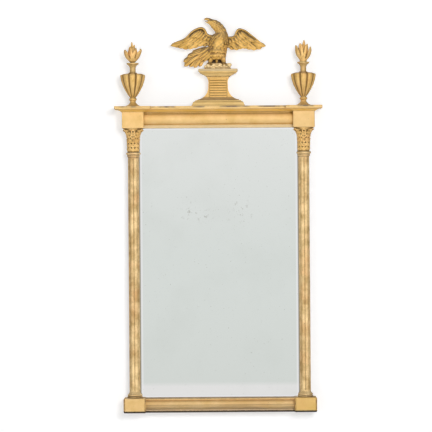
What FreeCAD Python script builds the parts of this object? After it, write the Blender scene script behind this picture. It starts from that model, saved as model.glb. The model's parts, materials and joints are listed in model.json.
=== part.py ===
import FreeCAD, Part
import math
import os

import Sketcher
from FreeCAD import Matrix, Placement, Rotation, Vector

# Giltwood pier mirror: half columns, corner blocks, a breaking cornice, two urns and an eagle on a pedestal.
# X runs to the viewer's right, the wall is the plane Y = 0 and the front looks along -Y.
# Z rises from the underside of the bottom rail.

SIZES = {
    # carcase
    "column_span": 598,  # between the axes of the two columns
    "stile_width": 38,
    "carcase_depth": 42,
    "sight_lip": 8,  # how far the carcase covers the edge of the plate
    "lip_thickness": 6,
    "tenon_thickness": 10,
    "tenon_length": 20,
    "tenon_shoulder": 8,
    "tenon_setback": 8,  # from the front of the carcase
    # plate and back
    "glass_thickness": 4,
    "glass_clearance": 1,
    "glazing_gap": 8,  # between the plate and the backboards
    "glazing_block_length": 60,
    "glazing_block_width": 14,
    "backboard_thickness": 8,
    "backboard_lap": 16,
    "backboard_clearance": 0.6,
    "backboard_gap": 1,
    "nail_diameter": 2.4,
    "nail_length": 16,
    "nail_head_diameter": 6,
    "nail_head_thickness": 1,
    # heights, from the underside upwards
    "lower_block_height": 52,
    "base_height": 20,
    "shaft_length": 824,
    "ring_height": 17,
    "capital_height": 84,
    "upper_block_height": 57,
    "cornice_height": 19,
    # corner blocks
    "block_width": 76,
    "block_projection": 38,
    "block_easing": 1.5,
    # frieze and bottom mouldings
    "frieze_fillet_height": 9,
    "frieze_fillet_projection": 10,
    "frieze_quirk_height": 3,
    "frieze_round_height": 40,
    "frieze_round_rise": 13,
    "sill_fillet_height": 7,
    "sill_fillet_projection": 11,
    "sill_quirk_height": 2.5,
    "sill_round_rise": 12,
    "quirk_projection": 5,
    # cornice
    "cornice_projection": 26,
    "cornice_fillet_height": 10,
    "cornice_foot_projection": 3,
    "cornice_cove_rise": 3,
    "top_board_projection": 16,  # of its middle, in front of the carcase
    # columns
    "column_diameter": 38,
    "reed_depth": 3.2,
    "reed_end": 6,
    "reed_margin": 2,
    "ring_rise": 4,
    "ring_collar_diameter": 43,
    "ring_collar_height": 8,
    "base_diameter": 54,
    "base_torus_height": 6,
    "base_torus_rise": 2,
    "base_ring_diameter": 52,
    "base_ring_height": 8,
    "base_ring_rise": 3.5,
    # capitals
    "capital_diameter": 74,
    "capital_bell_diameter": 46,
    "capital_leaf_depth": 4,
    "abacus_height": 7,
    # urns
    "urn_setback": 46,  # axis, from the wall
    "urn_spigot_diameter": 14,
    "urn_spigot_length": 14,
    "urn_foot_diameter": 52,
    "urn_foot_edge": 2.5,
    "urn_foot_height": 33,
    "urn_foot_cove_rise": 2,
    "urn_stem_diameter": 20,
    "urn_stem_height": 5,
    "urn_knop_diameter": 27,
    "urn_knop_height": 10,
    "urn_bowl_diameter": 90,
    "urn_bowl_height": 82,
    "urn_lobe_depth": 4.5,
    "urn_neck_height": 38,
    "urn_neck_diameter": 21,
    "urn_neck_foot_diameter": 30,
    "urn_neck_foot_height": 4,
    "urn_rim_diameter": 42,
    "urn_rim_height": 9,
    "urn_neck_cove_rise": 4,
    "urn_flame_height": 76,
    "urn_flame_width": 56,
    "urn_flame_spigot_diameter": 12,
    "urn_flame_spigot_length": 12,
    # pedestal
    "pedestal_setback": 2,  # back, from the wall
    "plinth_width": 186,
    "plinth_depth": 66,
    "plinth_height": 21,
    "plinth_slab_height": 13,
    "plinth_taper": 14,
    "plinth_taper_rise": 1,
    "die_height": 82,
    "die_foot_width": 146,
    "die_foot_depth": 50,
    "die_foot_edge": 2,
    "die_waist_width": 70,
    "die_waist_height": 52,
    "die_foot_rise": 13,
    "die_head_width": 79,
    "die_head_depth": 46,
    "die_head_rise": 3,
    "die_front_rise": 7,
    "reeding_width": 60,
    "reeding_height": 70,
    "reeding_lift": 8,
    "reeding_rise": 2.2,
    "reeding_ground": 3,  # how deep the reeds are rooted in the wood
    "cap_height": 27.5,
    "cap_width": 138,
    "cap_depth": 60,
    "cap_slab_height": 15.5,
    "cap_step": 7,
    "cap_cove_rise": 2,
    "pedestal_dowel_diameter": 12,
    "pedestal_dowel_length": 30,
    # eagle
    "eagle_setback": 33,  # middle of the body, from the wall
    "eagle_height": 178,
    "eagle_depth": 48,
    "eagle_left_reach": 167,
    "eagle_right_reach": 169,
    "eagle_wing_thickness": 13,
    "eagle_wing_sweep": 14,
    "eagle_tail_thickness": 12,
    "mound_height": 16,
    "mound_width": 104,
    "mound_depth": 42,
    "eagle_pin_diameter": 6,
    "wing_dowel_diameter": 8,
    "wing_dowel_length": 26,
    # hanging hardware
    "hanger_inset": 50,  # eye, from the inner edge of the stile
    "hanger_lift": 27,  # above the sight edge of the top rail
    "eye_diameter": 11,
    "eye_thickness": 4,
    "eye_hole_diameter": 5,
    "eye_standoff": 8,
    "eye_shank_diameter": 5,
    "eye_shank_length": 18,
    "ring_wire_diameter": 3.6,
    "hanging_ring_diameter": 26,
    # cutting
    "overrun": 5,  # how far a cut runs past the wood
}

LEFT, RIGHT = -1, 1
SIDE_NAMES = {LEFT: "left", RIGHT: "right"}

doc = FreeCAD.newDocument("PierMirror")
sheet = doc.addObject("Spreadsheet::Sheet", "Sizes")
for row, (name, number) in enumerate(SIZES.items(), start=1):
    sheet.set(f"A{row}", name)
    sheet.set(f"B{row}", str(number))
    sheet.setAlias(f"B{row}", name)
doc.recompute()

nodes = []


class Length:
    """A length in millimetres together with the sheet expression that gives it."""

    def __init__(self, number, text):
        self.number = number
        self.text = text

    def __add__(self, other):
        other = as_length(other)
        return Length(self.number + other.number, f"({self.text} + {other.text})")

    def __sub__(self, other):
        other = as_length(other)
        return Length(self.number - other.number, f"({self.text} - {other.text})")

    def __mul__(self, other):
        other = as_length(other)
        return Length(self.number * other.number, f"({self.text} * {other.text})")

    def __truediv__(self, other):
        other = as_length(other)
        return Length(self.number / other.number, f"({self.text} / {other.text})")

    def __rmul__(self, factor):
        return as_length(factor) * self

    def __neg__(self):
        return Length(-self.number, f"(0 - {self.text})")

    def root(self):
        return Length(math.sqrt(self.number), f"sqrt({self.text})")


def as_length(value):
    if isinstance(value, Length):
        return value
    return Length(float(value), f"{float(value):.9f}")


class SheetSizes:
    """Gives each cell of the sheet as a length, by its alias."""

    def __getattr__(self, alias):
        return Length(float(sheet.get(alias)), "Sizes." + alias)


size = SheetSizes()

# levels and planes that several pieces share
column_x = size.column_span / 2
front = -size.carcase_depth
plate_front = front + size.lip_thickness
plate_back = plate_front + size.glass_thickness
board_front = plate_back + size.glazing_gap
board_back = board_front + size.backboard_thickness
sight_width = size.column_span - size.stile_width
sight_bottom = size.lower_block_height
shaft_bottom = sight_bottom + size.base_height
ring_bottom = shaft_bottom + size.shaft_length
capital_bottom = ring_bottom + size.ring_height
sight_top = capital_bottom + size.capital_height
cornice_bottom = sight_top + size.upper_block_height
top_level = cornice_bottom + size.cornice_height
block_front = front - size.block_projection
board_edge = front - size.top_board_projection
die_bottom = top_level + size.plinth_height
cap_bottom = die_bottom + size.die_height
eagle_bottom = cap_bottom + size.cap_height
moulding_length = size.column_span - size.block_width
pedestal_axis = -size.pedestal_setback - size.plinth_depth / 2
hanger_level = sight_top + size.hanger_lift
hanger_x = sight_width / 2 - size.hanger_inset


def place(item, x=0, y=0, z=0, turn=None):
    """Sets where an object stands, bound to the sheet."""
    item.Placement = Placement(Vector(), turn or Rotation())
    for axis, value in zip("xyz", (x, y, z)):
        item.setExpression("Placement.Base." + axis, as_length(value).text)


def keep(item, label):
    """Names a finished piece and puts it on the list of files to write."""
    item.Label = label
    nodes.append(item)
    return item


def new_body(label):
    return doc.addObject("PartDesign::Body", label + "_body")


def new_sketch(body, plane, lift=None):
    """A sketch on one of the body's own origin planes, lifted along that plane's normal."""
    sketch = body.newObject("Sketcher::SketchObject", "Sketch")
    support = next(item for item in body.Origin.OriginFeatures if item.Role == plane)
    sketch.AttachmentSupport = [(support, "")]
    sketch.MapMode = "FlatFace"
    if lift is not None:
        sketch.setExpression("AttachmentOffset.Base.z", lift.text)
    return sketch


def bind(sketch, kind, *places, value):
    """Adds a driving constraint whose value comes from the sheet."""
    index = sketch.addConstraint(Sketcher.Constraint(kind, *places, value.number))
    sketch.setExpression(f"Constraints[{index}]", value.text)


def pin_point(sketch, geometry, point, across, up):
    """Fixes a point of the sketch at the two coordinates given."""
    for kind, value in (("DistanceX", across), ("DistanceY", up)):
        bind(sketch, kind, -1, 1, geometry, point, value=value)


def arc_radius(start, end, rise):
    across = end[0] - start[0]
    up = end[1] - start[1]
    return ((across * across + up * up) / 4 + rise * rise) / (2 * rise)


def outline(sketch, corners):
    """Closes an outline, anticlockwise. A third entry of a corner is the rise of the arc that leaves it:
    ("out", rise) swells away from the wood and ("in", rise) is hollowed into it."""
    count = len(corners)
    sides = []
    for index, corner in enumerate(corners):
        start = [as_length(value) for value in corner[:2]]
        end = [as_length(value) for value in corners[(index + 1) % count][:2]]
        a, b = (Vector(point[0].number, point[1].number, 0) for point in (start, end))
        if len(corner) == 2:
            sides.append((sketch.addGeometry(Part.LineSegment(a, b)), 1, 2))
            continue
        way, rise = corner[2]
        radius = arc_radius(start, end, rise)
        along = (b - a).normalize()
        swell = Vector(along.y, -along.x, 0) * (1 if way == "out" else -1)
        centre = (a + b) * 0.5 - swell * (radius.number - rise.number)
        first, last = (a, b) if way == "out" else (b, a)
        angles = [math.atan2(point.y - centre.y, point.x - centre.x) for point in (first, last)]
        circle = Part.Circle(centre, Vector(0, 0, 1), radius.number)
        arc = sketch.addGeometry(Part.ArcOfCircle(circle, angles[0], angles[1]))
        bind(sketch, "Radius", arc, value=radius)
        sides.append((arc, 1, 2) if way == "out" else (arc, 2, 1))
    for index, corner in enumerate(corners):
        before = sides[index - 1]
        after = sides[index]
        sketch.addConstraint(Sketcher.Constraint("Coincident", before[0], before[2], after[0], after[1]))
        pin_point(sketch, after[0], after[1], as_length(corner[0]), as_length(corner[1]))
    return sketch


def rectangle(sketch, left, right, bottom, top):
    return outline(sketch, [(left, bottom), (right, bottom), (right, top), (left, top)])


def circles(sketch, centres, radius):
    for across, up in centres:
        across, up = as_length(across), as_length(up)
        middle = Vector(across.number, up.number, 0)
        ring = sketch.addGeometry(Part.Circle(middle, Vector(0, 0, 1), radius.number))
        pin_point(sketch, ring, 3, across, up)
        bind(sketch, "Radius", ring, value=radius)
    return sketch


def pad(body, sketch, length, centred=False, reverse=False):
    feature = body.newObject("PartDesign::Pad", "Pad")
    feature.Profile = sketch
    feature.setExpression("Length", length.text)
    feature.SideType = "Symmetric" if centred else "One side"
    feature.Reversed = reverse
    return feature


def pocket(body, sketch, length, centred=False, reverse=False):
    """Cuts a sketch out of the body and makes sure that wood came away."""
    doc.recompute()
    before = body.Shape.Volume
    feature = body.newObject("PartDesign::Pocket", "Pocket")
    feature.Profile = sketch
    feature.setExpression("Length", length.text)
    feature.SideType = "Symmetric" if centred else "One side"
    feature.Reversed = reverse
    doc.recompute()
    if not body.Shape.Volume < before:
        raise RuntimeError(f"{body.Name}: a pocket cut nothing")
    return feature


def turn_round(body, sketch, angle):
    """Revolves a profile about the vertical axis, evenly to both sides of the sketch."""
    feature = body.newObject("PartDesign::Revolution", "Revolution")
    feature.Profile = sketch
    feature.ReferenceAxis = (sketch, ["V_Axis"])
    feature.Angle = angle
    feature.Midplane = angle < 360
    return feature


def loft_sketches(body, sketches, ruled):
    feature = body.newObject("PartDesign::AdditiveLoft", "Loft")
    feature.Profile = sketches[0]
    feature.Sections = sketches[1:]
    feature.Ruled = ruled
    return feature


def lobed_section(body, height, diameter, depth, lobes, first_angle):
    """A round section drawn as lobes that swell between grooves of the given depth."""
    sketch = new_sketch(body, "XY_Plane", height)
    pitch = 2 * math.pi / lobes
    groove_radius = diameter / 2 - depth
    rise = diameter / 2 - groove_radius * math.cos(pitch / 2)
    corners = []
    for lobe in range(lobes):
        angle = first_angle + lobe * pitch
        corners.append((groove_radius * math.cos(angle), groove_radius * math.sin(angle), ("out", rise)))
    return outline(sketch, corners)


def saw_in_half(body, width, height):
    """Takes away the half of a turned piece that would lie behind its own axis."""
    sketch = rectangle(new_sketch(body, "XY_Plane"), -width, width, 0, width)
    pocket(body, sketch, 2 * (height + size.overrun), centred=True)


# Carcase

def stile(side):
    """Upright with a rebate for the plate, a wider one for the backboards, and two mortises."""
    label = f"{SIDE_NAMES[side]}_stile"
    body = new_body(label)
    inner = -side
    half = size.stile_width / 2
    pad(body, rectangle(new_sketch(body, "XY_Plane"), -half, half, front, 0), cornice_bottom)
    for depth, width in ((plate_front, size.sight_lip), (board_front, size.backboard_lap)):
        bottom = sight_bottom - width
        edges = sorted((inner * (half - width), inner * (half + size.overrun)), key=lambda edge: edge.number)
        sketch = rectangle(new_sketch(body, "XY_Plane", bottom), edges[0], edges[1], depth, size.overrun)
        pocket(body, sketch, sight_top + width - bottom, reverse=True)
    for bottom, top in tenon_heights():
        sketch = new_sketch(body, "YZ_Plane", inner * half)
        rectangle(sketch, tenon_front(), tenon_front() + size.tenon_thickness, bottom, top)
        pocket(body, sketch, size.tenon_length, reverse=inner < 0)
    place(body, x=side * column_x)
    return body


def tenon_front():
    return front + size.tenon_setback


def tenon_heights():
    shoulder = size.tenon_shoulder
    lower = (shoulder, sight_bottom - size.backboard_lap - shoulder)
    upper = (sight_top + size.backboard_lap + shoulder, cornice_bottom - shoulder)
    return lower, upper


def rail_tenon(body, heights):
    sketch = new_sketch(body, "YZ_Plane")
    rectangle(sketch, tenon_front(), tenon_front() + size.tenon_thickness, heights[0], heights[1])
    pad(body, sketch, sight_width + 2 * size.tenon_length, centred=True)


def bottom_rail():
    body = new_body("bottom_rail")
    corners = [
        (front, 0),
        (0, 0),
        (0, sight_bottom - size.backboard_lap),
        (board_front, sight_bottom - size.backboard_lap),
        (board_front, sight_bottom - size.sight_lip),
        (plate_front, sight_bottom - size.sight_lip),
        (plate_front, sight_bottom),
        (front, sight_bottom),
    ]
    pad(body, outline(new_sketch(body, "YZ_Plane"), corners), sight_width, centred=True)
    rail_tenon(body, tenon_heights()[0])
    return body


def top_rail():
    """Stops short of the wall, which leaves a pocket behind it for the hanging rings."""
    body = new_body("top_rail")
    corners = [
        (front, sight_top),
        (plate_front, sight_top),
        (plate_front, sight_top + size.sight_lip),
        (board_front, sight_top + size.sight_lip),
        (board_front, sight_top + size.backboard_lap),
        (board_back, sight_top + size.backboard_lap),
        (board_back, cornice_bottom),
        (front, cornice_bottom),
    ]
    pad(body, outline(new_sketch(body, "YZ_Plane"), corners), sight_width, centred=True)
    rail_tenon(body, tenon_heights()[1])
    sketch = new_sketch(body, "XZ_Plane", -board_back)
    centres = [(side * hanger_x, hanger_level) for side in (LEFT, RIGHT)]
    circles(sketch, centres, size.eye_shank_diameter / 2)
    pocket(body, sketch, size.eye_shank_length, reverse=True)
    return body


# Plate, glue blocks and backboards

def mirror_plate():
    plate = doc.addObject("Part::Box", "mirror_plate_box")
    width = sight_width + 2 * (size.sight_lip - size.glass_clearance)
    height = sight_top - sight_bottom + 2 * (size.sight_lip - size.glass_clearance)
    plate.setExpression("Length", width.text)
    plate.setExpression("Width", size.glass_thickness.text)
    plate.setExpression("Height", height.text)
    place(plate, -width / 2, plate_front, sight_bottom - size.sight_lip + size.glass_clearance)
    return plate


def glazing_blocks():
    """Bevelled softwood blocks glued into the rebate behind the plate."""
    reach = sight_width / 2 + size.sight_lip
    rise = (sight_top - sight_bottom) / 2 + size.sight_lip
    middle = (sight_top + sight_bottom) / 2
    upright_shares = (-0.75, 0.0, 0.75)
    level_shares = (-0.6, 0.6)
    spots = []
    for side in (LEFT, RIGHT):
        spots += [(side * reach, middle + share * rise, 90 * side) for share in upright_shares]
        spots += [(share * reach, middle + side * rise, 90 + 90 * side) for share in level_shares]
    blocks = []
    for x, z, turn in spots:
        block = doc.addObject("Part::Wedge", "glazing_block")
        bounds = {
            "Xmin": -size.glazing_block_length / 2,
            "Xmax": size.glazing_block_length / 2,
            "X2min": -size.glazing_block_length / 2,
            "X2max": size.glazing_block_length / 2,
            "Ymin": as_length(0),
            "Ymax": size.glazing_gap,
            "Zmin": as_length(0),
            "Zmax": size.glazing_block_width,
            "Z2min": as_length(0),
            "Z2max": size.glazing_block_width / 2,
        }
        for prop, value in bounds.items():
            block.setExpression(prop, value.text)
        place(block, x, plate_back, z, Rotation(Vector(0, 1, 0), -turn))
        blocks.append(block)
    group = doc.addObject("Part::Compound", "glazing_blocks_group")
    group.Links = blocks
    return group


def backboard(index, count):
    """One of several upright boards, nailed side by side into the back rebate."""
    board = doc.addObject("Part::Box", "backboard")
    full_width = sight_width + 2 * (size.backboard_lap - size.backboard_clearance)
    width = (full_width - (count - 1) * size.backboard_gap) / count
    lap = size.backboard_lap - size.backboard_clearance
    board.setExpression("Length", width.text)
    board.setExpression("Width", size.backboard_thickness.text)
    board.setExpression("Height", (sight_top - sight_bottom + 2 * lap).text)
    left = -full_width / 2 + index * (width + size.backboard_gap)
    place(board, left, board_front, sight_bottom - lap)
    return board


def backboard_nails():
    """Nails through the lap of the backboards into the stiles and rails, heads on the back."""
    inset = (size.backboard_lap + size.sight_lip) / 2
    reach = sight_width / 2 + inset
    rise = (sight_top - sight_bottom) / 2 + inset
    middle = (sight_top + sight_bottom) / 2
    upright_shares = (-0.5, 0.0, 0.5)
    level_shares = (-0.66, 0.0, 0.66)
    spots = []
    for side in (LEFT, RIGHT):
        spots += [(side * reach, middle + share * rise) for share in upright_shares]
        spots += [(share * reach, middle + side * rise) for share in level_shares]
    nails = []
    for x, z in spots:
        shank = doc.addObject("Part::Cylinder", "nail_shank")
        shank.setExpression("Radius", (size.nail_diameter / 2).text)
        shank.setExpression("Height", size.nail_length.text)
        place(shank, x, board_back, z, Rotation(Vector(1, 0, 0), 90))
        head = doc.addObject("Part::Cylinder", "nail_head")
        head.setExpression("Radius", (size.nail_head_diameter / 2).text)
        head.setExpression("Height", size.nail_head_thickness.text)
        place(head, x, board_back + size.nail_head_thickness, z, Rotation(Vector(1, 0, 0), 90))
        nail = doc.addObject("Part::MultiFuse", "nail")
        nail.Shapes = [shank, head]
        nails.append(nail)
    group = doc.addObject("Part::Compound", "backboard_nails_group")
    group.Links = nails
    return group


def bored_for(blank, tool, label):
    """The piece with the holes that the nails have made in it."""
    cut = doc.addObject("Part::Cut", label + "_cut")
    cut.Base = blank
    cut.Tool = tool
    return keep(cut, label)


# Corner blocks and mouldings

def corner_block(side, height, level, label):
    """Stands in front of the stile and wraps round its outer side to the wall."""
    body = new_body(label)
    half = size.block_width / 2
    stile_half = size.stile_width / 2
    easing = size.block_easing
    corners = [
        (-half, block_front + easing),
        (-half + easing, block_front),
        (half - easing, block_front),
        (half, block_front + easing),
        (half, 0),
        (stile_half, 0),
        (stile_half, front),
        (-half, front),
    ]
    if side == LEFT:
        corners = [(-across, along) for across, along in reversed(corners)]
    pad(body, outline(new_sketch(body, "XY_Plane"), corners), height)
    place(body, x=side * column_x, z=level)
    return keep(body, label)


def frieze_moulding():
    """Half round over a quirk and a fillet, between the upper blocks."""
    body = new_body("frieze_moulding")
    quirk = -size.quirk_projection
    fillet = -size.frieze_fillet_projection
    round_bottom = size.frieze_fillet_height + size.frieze_quirk_height
    corners = [
        (0, 0),
        (0, size.upper_block_height),
        (quirk, size.upper_block_height),
        (quirk, round_bottom + size.frieze_round_height, ("out", size.frieze_round_rise)),
        (quirk, round_bottom),
        (quirk, size.frieze_fillet_height),
        (fillet, size.frieze_fillet_height),
        (fillet, 0),
    ]
    pad(body, outline(new_sketch(body, "YZ_Plane"), corners), moulding_length, centred=True)
    place(body, y=front, z=sight_top)
    return keep(body, "frieze_moulding")


def sill_moulding():
    """Half round between two quirks and two fillets, between the lower blocks."""
    body = new_body("sill_moulding")
    quirk = -size.quirk_projection
    fillet = -size.sill_fillet_projection
    round_bottom = size.sill_fillet_height + size.sill_quirk_height
    top = size.lower_block_height
    corners = [
        (0, 0),
        (0, top),
        (fillet, top),
        (fillet, top - size.sill_fillet_height),
        (quirk, top - size.sill_fillet_height),
        (quirk, top - round_bottom, ("out", size.sill_round_rise)),
        (quirk, round_bottom),
        (quirk, size.sill_fillet_height),
        (fillet, size.sill_fillet_height),
        (fillet, 0),
    ]
    pad(body, outline(new_sketch(body, "YZ_Plane"), corners), moulding_length, centred=True)
    place(body, y=front)
    return keep(body, "sill_moulding")


# Top board and cornice

def top_board():
    """Board over frieze and blocks; cornice, urns and pedestal are fixed to it."""
    body = new_body("top_board")
    half = size.block_width / 2
    outer, inner = column_x + half, column_x - half
    corners = [
        (-outer, block_front),
        (-inner, block_front),
        (-inner, board_edge),
        (inner, board_edge),
        (inner, block_front),
        (outer, block_front),
        (outer, 0),
        (-outer, 0),
    ]
    pad(body, outline(new_sketch(body, "XY_Plane"), corners), size.cornice_height)
    doc.recompute()
    urn_holes = new_sketch(body, "XY_Plane", size.cornice_height)
    urn_places = [(side * column_x, -size.urn_setback) for side in (LEFT, RIGHT)]
    circles(urn_holes, urn_places, size.urn_spigot_diameter / 2)
    pocket(body, urn_holes, size.urn_spigot_length)
    dowel_hole = new_sketch(body, "XY_Plane", size.cornice_height)
    circles(dowel_hole, [(0, pedestal_axis)], size.pedestal_dowel_diameter / 2)
    pocket(body, dowel_hole, size.pedestal_dowel_length / 2)
    place(body, z=cornice_bottom)
    return keep(body, "top_board")


def cornice_run(label, length, left_mitre, right_mitre):
    """A length of cornice along X with its back on Y = 0. A mitre of 1 grows towards the front edge,
    -1 shrinks towards it and 0 is square."""
    body = new_body(label)
    reach = size.cornice_projection
    height = size.cornice_height
    corners = [
        (0, 0),
        (0, height),
        (-reach, height),
        (-reach, height - size.cornice_fillet_height, ("in", size.cornice_cove_rise)),
        (-size.cornice_foot_projection, 0),
    ]
    spare = reach + size.overrun
    pad(body, outline(new_sketch(body, "YZ_Plane"), corners), length + 2 * spare, centred=True)
    for side, mitre in ((LEFT, left_mitre), (RIGHT, right_mitre)):
        back = side * (length / 2 - mitre * size.overrun)
        tip = side * (length / 2 + mitre * spare)
        far = side * (length / 2 + 2 * spare)
        plan = [(tip, -spare), (far, -spare), (far, size.overrun), (back, size.overrun)]
        if side == LEFT:
            plan.reverse()
        pocket(body, outline(new_sketch(body, "XY_Plane"), plan), 2 * (height + size.overrun), centred=True)
    return keep(body, label)


def cornice():
    half = size.block_width / 2
    depth = -block_front
    step = board_edge - block_front
    centre = cornice_run("cornice_centre", moulding_length, -1, -1)
    place(centre, y=board_edge, z=cornice_bottom)
    for side in (LEFT, RIGHT):
        name = SIDE_NAMES[side]
        front_run = cornice_run(f"cornice_front_{name}", size.block_width, 1, 1)
        place(front_run, side * column_x, block_front, cornice_bottom)
        outward = Rotation(Vector(0, 0, 1), 90 * side)
        inward = Rotation(Vector(0, 0, 1), -90 * side)
        ends = (1, 0) if side == RIGHT else (0, 1)
        outer = cornice_run(f"cornice_outer_return_{name}", depth, *ends)
        place(outer, side * (column_x + half), block_front / 2, cornice_bottom, outward)
        ends = (-1, 1) if side == RIGHT else (1, -1)
        inner = cornice_run(f"cornice_inner_return_{name}", step, *ends)
        place(inner, side * (column_x - half), (block_front + board_edge) / 2, cornice_bottom, inward)


# Half columns

def column_shaft(side):
    """Reeded all round with rounded ends to the reeds, then sawn in half."""
    label = f"column_shaft_{SIDE_NAMES[side]}"
    body = new_body(label)
    reeds = 6
    shallow_share = 0.06
    length = size.shaft_length
    margin = size.reed_margin
    deep = size.reed_depth
    levels = [
        (as_length(0), shallow_share * deep),
        (margin, shallow_share * deep),
        (margin + size.reed_end, deep),
        (length - margin - size.reed_end, deep),
        (length - margin, shallow_share * deep),
        (length, shallow_share * deep),
    ]
    sections = []
    for level, depth in levels:
        sections.append(lobed_section(body, level, size.column_diameter, depth, reeds, -math.pi / 2))
    loft_sketches(body, sections, ruled=True)
    saw_in_half(body, size.column_diameter, length)
    place(body, side * column_x, front, shaft_bottom)
    return keep(body, label)


def neck_ring(side):
    """Half ring under the capital, with a collar below it."""
    label = f"neck_ring_{SIDE_NAMES[side]}"
    body = new_body(label)
    collar = -size.ring_collar_diameter / 2
    corners = [
        (0, 0),
        (0, size.ring_height),
        (collar, size.ring_height, ("out", size.ring_rise)),
        (collar, size.ring_collar_height),
        (collar, 0),
    ]
    turn_round(body, outline(new_sketch(body, "YZ_Plane"), corners), 180)
    place(body, side * column_x, front, ring_bottom)
    return keep(body, label)


def column_base(side):
    """Half of a turned base: a low ring, a quirk and a fuller torus."""
    label = f"column_base_{SIDE_NAMES[side]}"
    body = new_body(label)
    torus = -size.base_diameter / 2 + size.base_torus_rise
    ring = -size.base_ring_diameter / 2 + size.base_ring_rise
    ring_top = size.base_torus_height + size.base_ring_height
    corners = [
        (0, 0),
        (0, size.base_height),
        (-size.column_diameter / 2, size.base_height),
        (ring, ring_top, ("out", size.base_ring_rise)),
        (ring, size.base_torus_height),
        (torus, size.base_torus_height, ("out", size.base_torus_rise)),
        (torus, 0),
    ]
    turn_round(body, outline(new_sketch(body, "YZ_Plane"), corners), 180)
    place(body, side * column_x, front, sight_bottom)
    return keep(body, label)


def capital(side):
    """Bell of broad leaves that curl out under a low abacus, sawn in half."""
    label = f"capital_{SIDE_NAMES[side]}"
    body = new_body(label)
    leaves = 10
    first_angle = -math.pi / 2 - math.pi / leaves
    bell, wide = size.capital_bell_diameter, size.capital_diameter
    leaf_height = size.capital_height - size.abacus_height
    # height share, share of the flare, share of the leaf depth
    leaf_shares = [
        (0.0, 0.0, 0.25),
        (0.12, 0.06, 0.8),
        (0.55, 0.0, 0.9),
        (0.78, 0.28, 1.0),
        (0.92, 0.85, 1.25),
        (1.0, 1.0, 0.9),
    ]
    sections = []
    for height_share, flare_share, depth_share in leaf_shares:
        diameter = bell + flare_share * (wide - bell)
        depth = depth_share * size.capital_leaf_depth
        sections.append(lobed_section(body, height_share * leaf_height, diameter, depth, leaves, first_angle))
    loft_sketches(body, sections, ruled=True)
    saw_in_half(body, wide, size.capital_height)
    doc.recompute()
    sketch = new_sketch(body, "XY_Plane", leaf_height)
    half = wide / 2
    rectangle(sketch, -half, half, -half, 0)
    pad(body, sketch, size.abacus_height)
    place(body, side * column_x, front, capital_bottom)
    return keep(body, label)


# Urns

def urn_foot(side):
    label = f"urn_foot_{SIDE_NAMES[side]}"
    body = new_body(label)
    spigot = -size.urn_spigot_diameter / 2
    foot = -size.urn_foot_diameter / 2
    stem = -size.urn_stem_diameter / 2
    knop_swell = (size.urn_knop_diameter - size.urn_stem_diameter) / 2
    height = size.urn_foot_height
    knop_top = height - size.urn_stem_height / 2
    knop_bottom = knop_top - size.urn_knop_height
    corners = [
        (0, -size.urn_spigot_length),
        (0, height),
        (stem, height),
        (stem, knop_top, ("out", knop_swell)),
        (stem, knop_bottom),
        (stem, knop_bottom - size.urn_stem_height, ("in", size.urn_foot_cove_rise)),
        (foot, size.urn_foot_edge),
        (foot, 0),
        (spigot, 0),
        (spigot, -size.urn_spigot_length),
    ]
    turn_round(body, outline(new_sketch(body, "YZ_Plane"), corners), 360)
    place(body, side * column_x, -size.urn_setback, top_level)
    return keep(body, label)


def urn_bowl(side):
    """Ten lobes that swell from a narrow foot to a flat shoulder."""
    label = f"urn_bowl_{SIDE_NAMES[side]}"
    body = new_body(label)
    lobes = 10
    first_angle = -math.pi / 2 - math.pi / lobes
    # height share, share of the diameter, share of the lobe depth
    bowl_shares = [
        (0.0, 0.25, 0.2),
        (0.1, 0.4, 0.45),
        (0.28, 0.6, 0.8),
        (0.5, 0.81, 1.0),
        (0.72, 0.94, 1.0),
        (0.9, 1.0, 1.0),
        (0.95, 0.97, 0.95),
        (1.0, 0.7, 0.5),
    ]
    sections = []
    for height_share, width_share, depth_share in bowl_shares:
        diameter = width_share * size.urn_bowl_diameter
        depth = depth_share * size.urn_lobe_depth
        level = height_share * size.urn_bowl_height
        sections.append(lobed_section(body, level, diameter, depth, lobes, first_angle))
    loft_sketches(body, sections, ruled=True)
    place(body, side * column_x, -size.urn_setback, top_level + size.urn_foot_height)
    return keep(body, label)


def urn_neck(side):
    """Waisted neck with a spreading rim, bored for the flame."""
    label = f"urn_neck_{SIDE_NAMES[side]}"
    body = new_body(label)
    height = size.urn_neck_height
    rim = -size.urn_rim_diameter / 2
    neck = -size.urn_neck_diameter / 2
    foot = -size.urn_neck_foot_diameter / 2
    bore = -size.urn_flame_spigot_diameter / 2
    bore_bottom = height - size.urn_flame_spigot_length
    waist = (height - size.urn_rim_height) / 2
    corners = [
        (0, 0),
        (0, bore_bottom),
        (bore, bore_bottom),
        (bore, height),
        (rim, height),
        (rim, height - size.urn_rim_height / 2, ("in", size.urn_neck_cove_rise)),
        (neck, waist),
        (neck, size.urn_neck_foot_height),
        (foot, size.urn_neck_foot_height),
        (foot, 0),
    ]
    turn_round(body, outline(new_sketch(body, "YZ_Plane"), corners), 360)
    place(body, side * column_x, -size.urn_setback, top_level + size.urn_foot_height + size.urn_bowl_height)
    return keep(body, label)


FLAME_TURNS = {LEFT: 0, RIGHT: 35}  # degrees, so that the two flames differ


def block_beyond(point, outward, breadth):
    """A block whose near face stands on the point and looks back along the outward direction."""
    block = Part.makeBox(breadth, 2 * breadth, breadth, Vector(0, -breadth, -breadth / 2))
    block.Placement = Placement(point, Rotation(Vector(1, 0, 0), outward))
    return block


def scaled_circle(centre, radii, turn=None):
    """A unit circle stretched to an ellipse, turned and moved to its place."""
    stretch = Matrix()
    stretch.scale(radii[0], radii[1], 1)
    ring = Part.Wire(Part.makeCircle(1).transformGeometry(stretch).Edges)
    ring.Placement = Placement(centre, turn or Rotation())
    return ring


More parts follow.
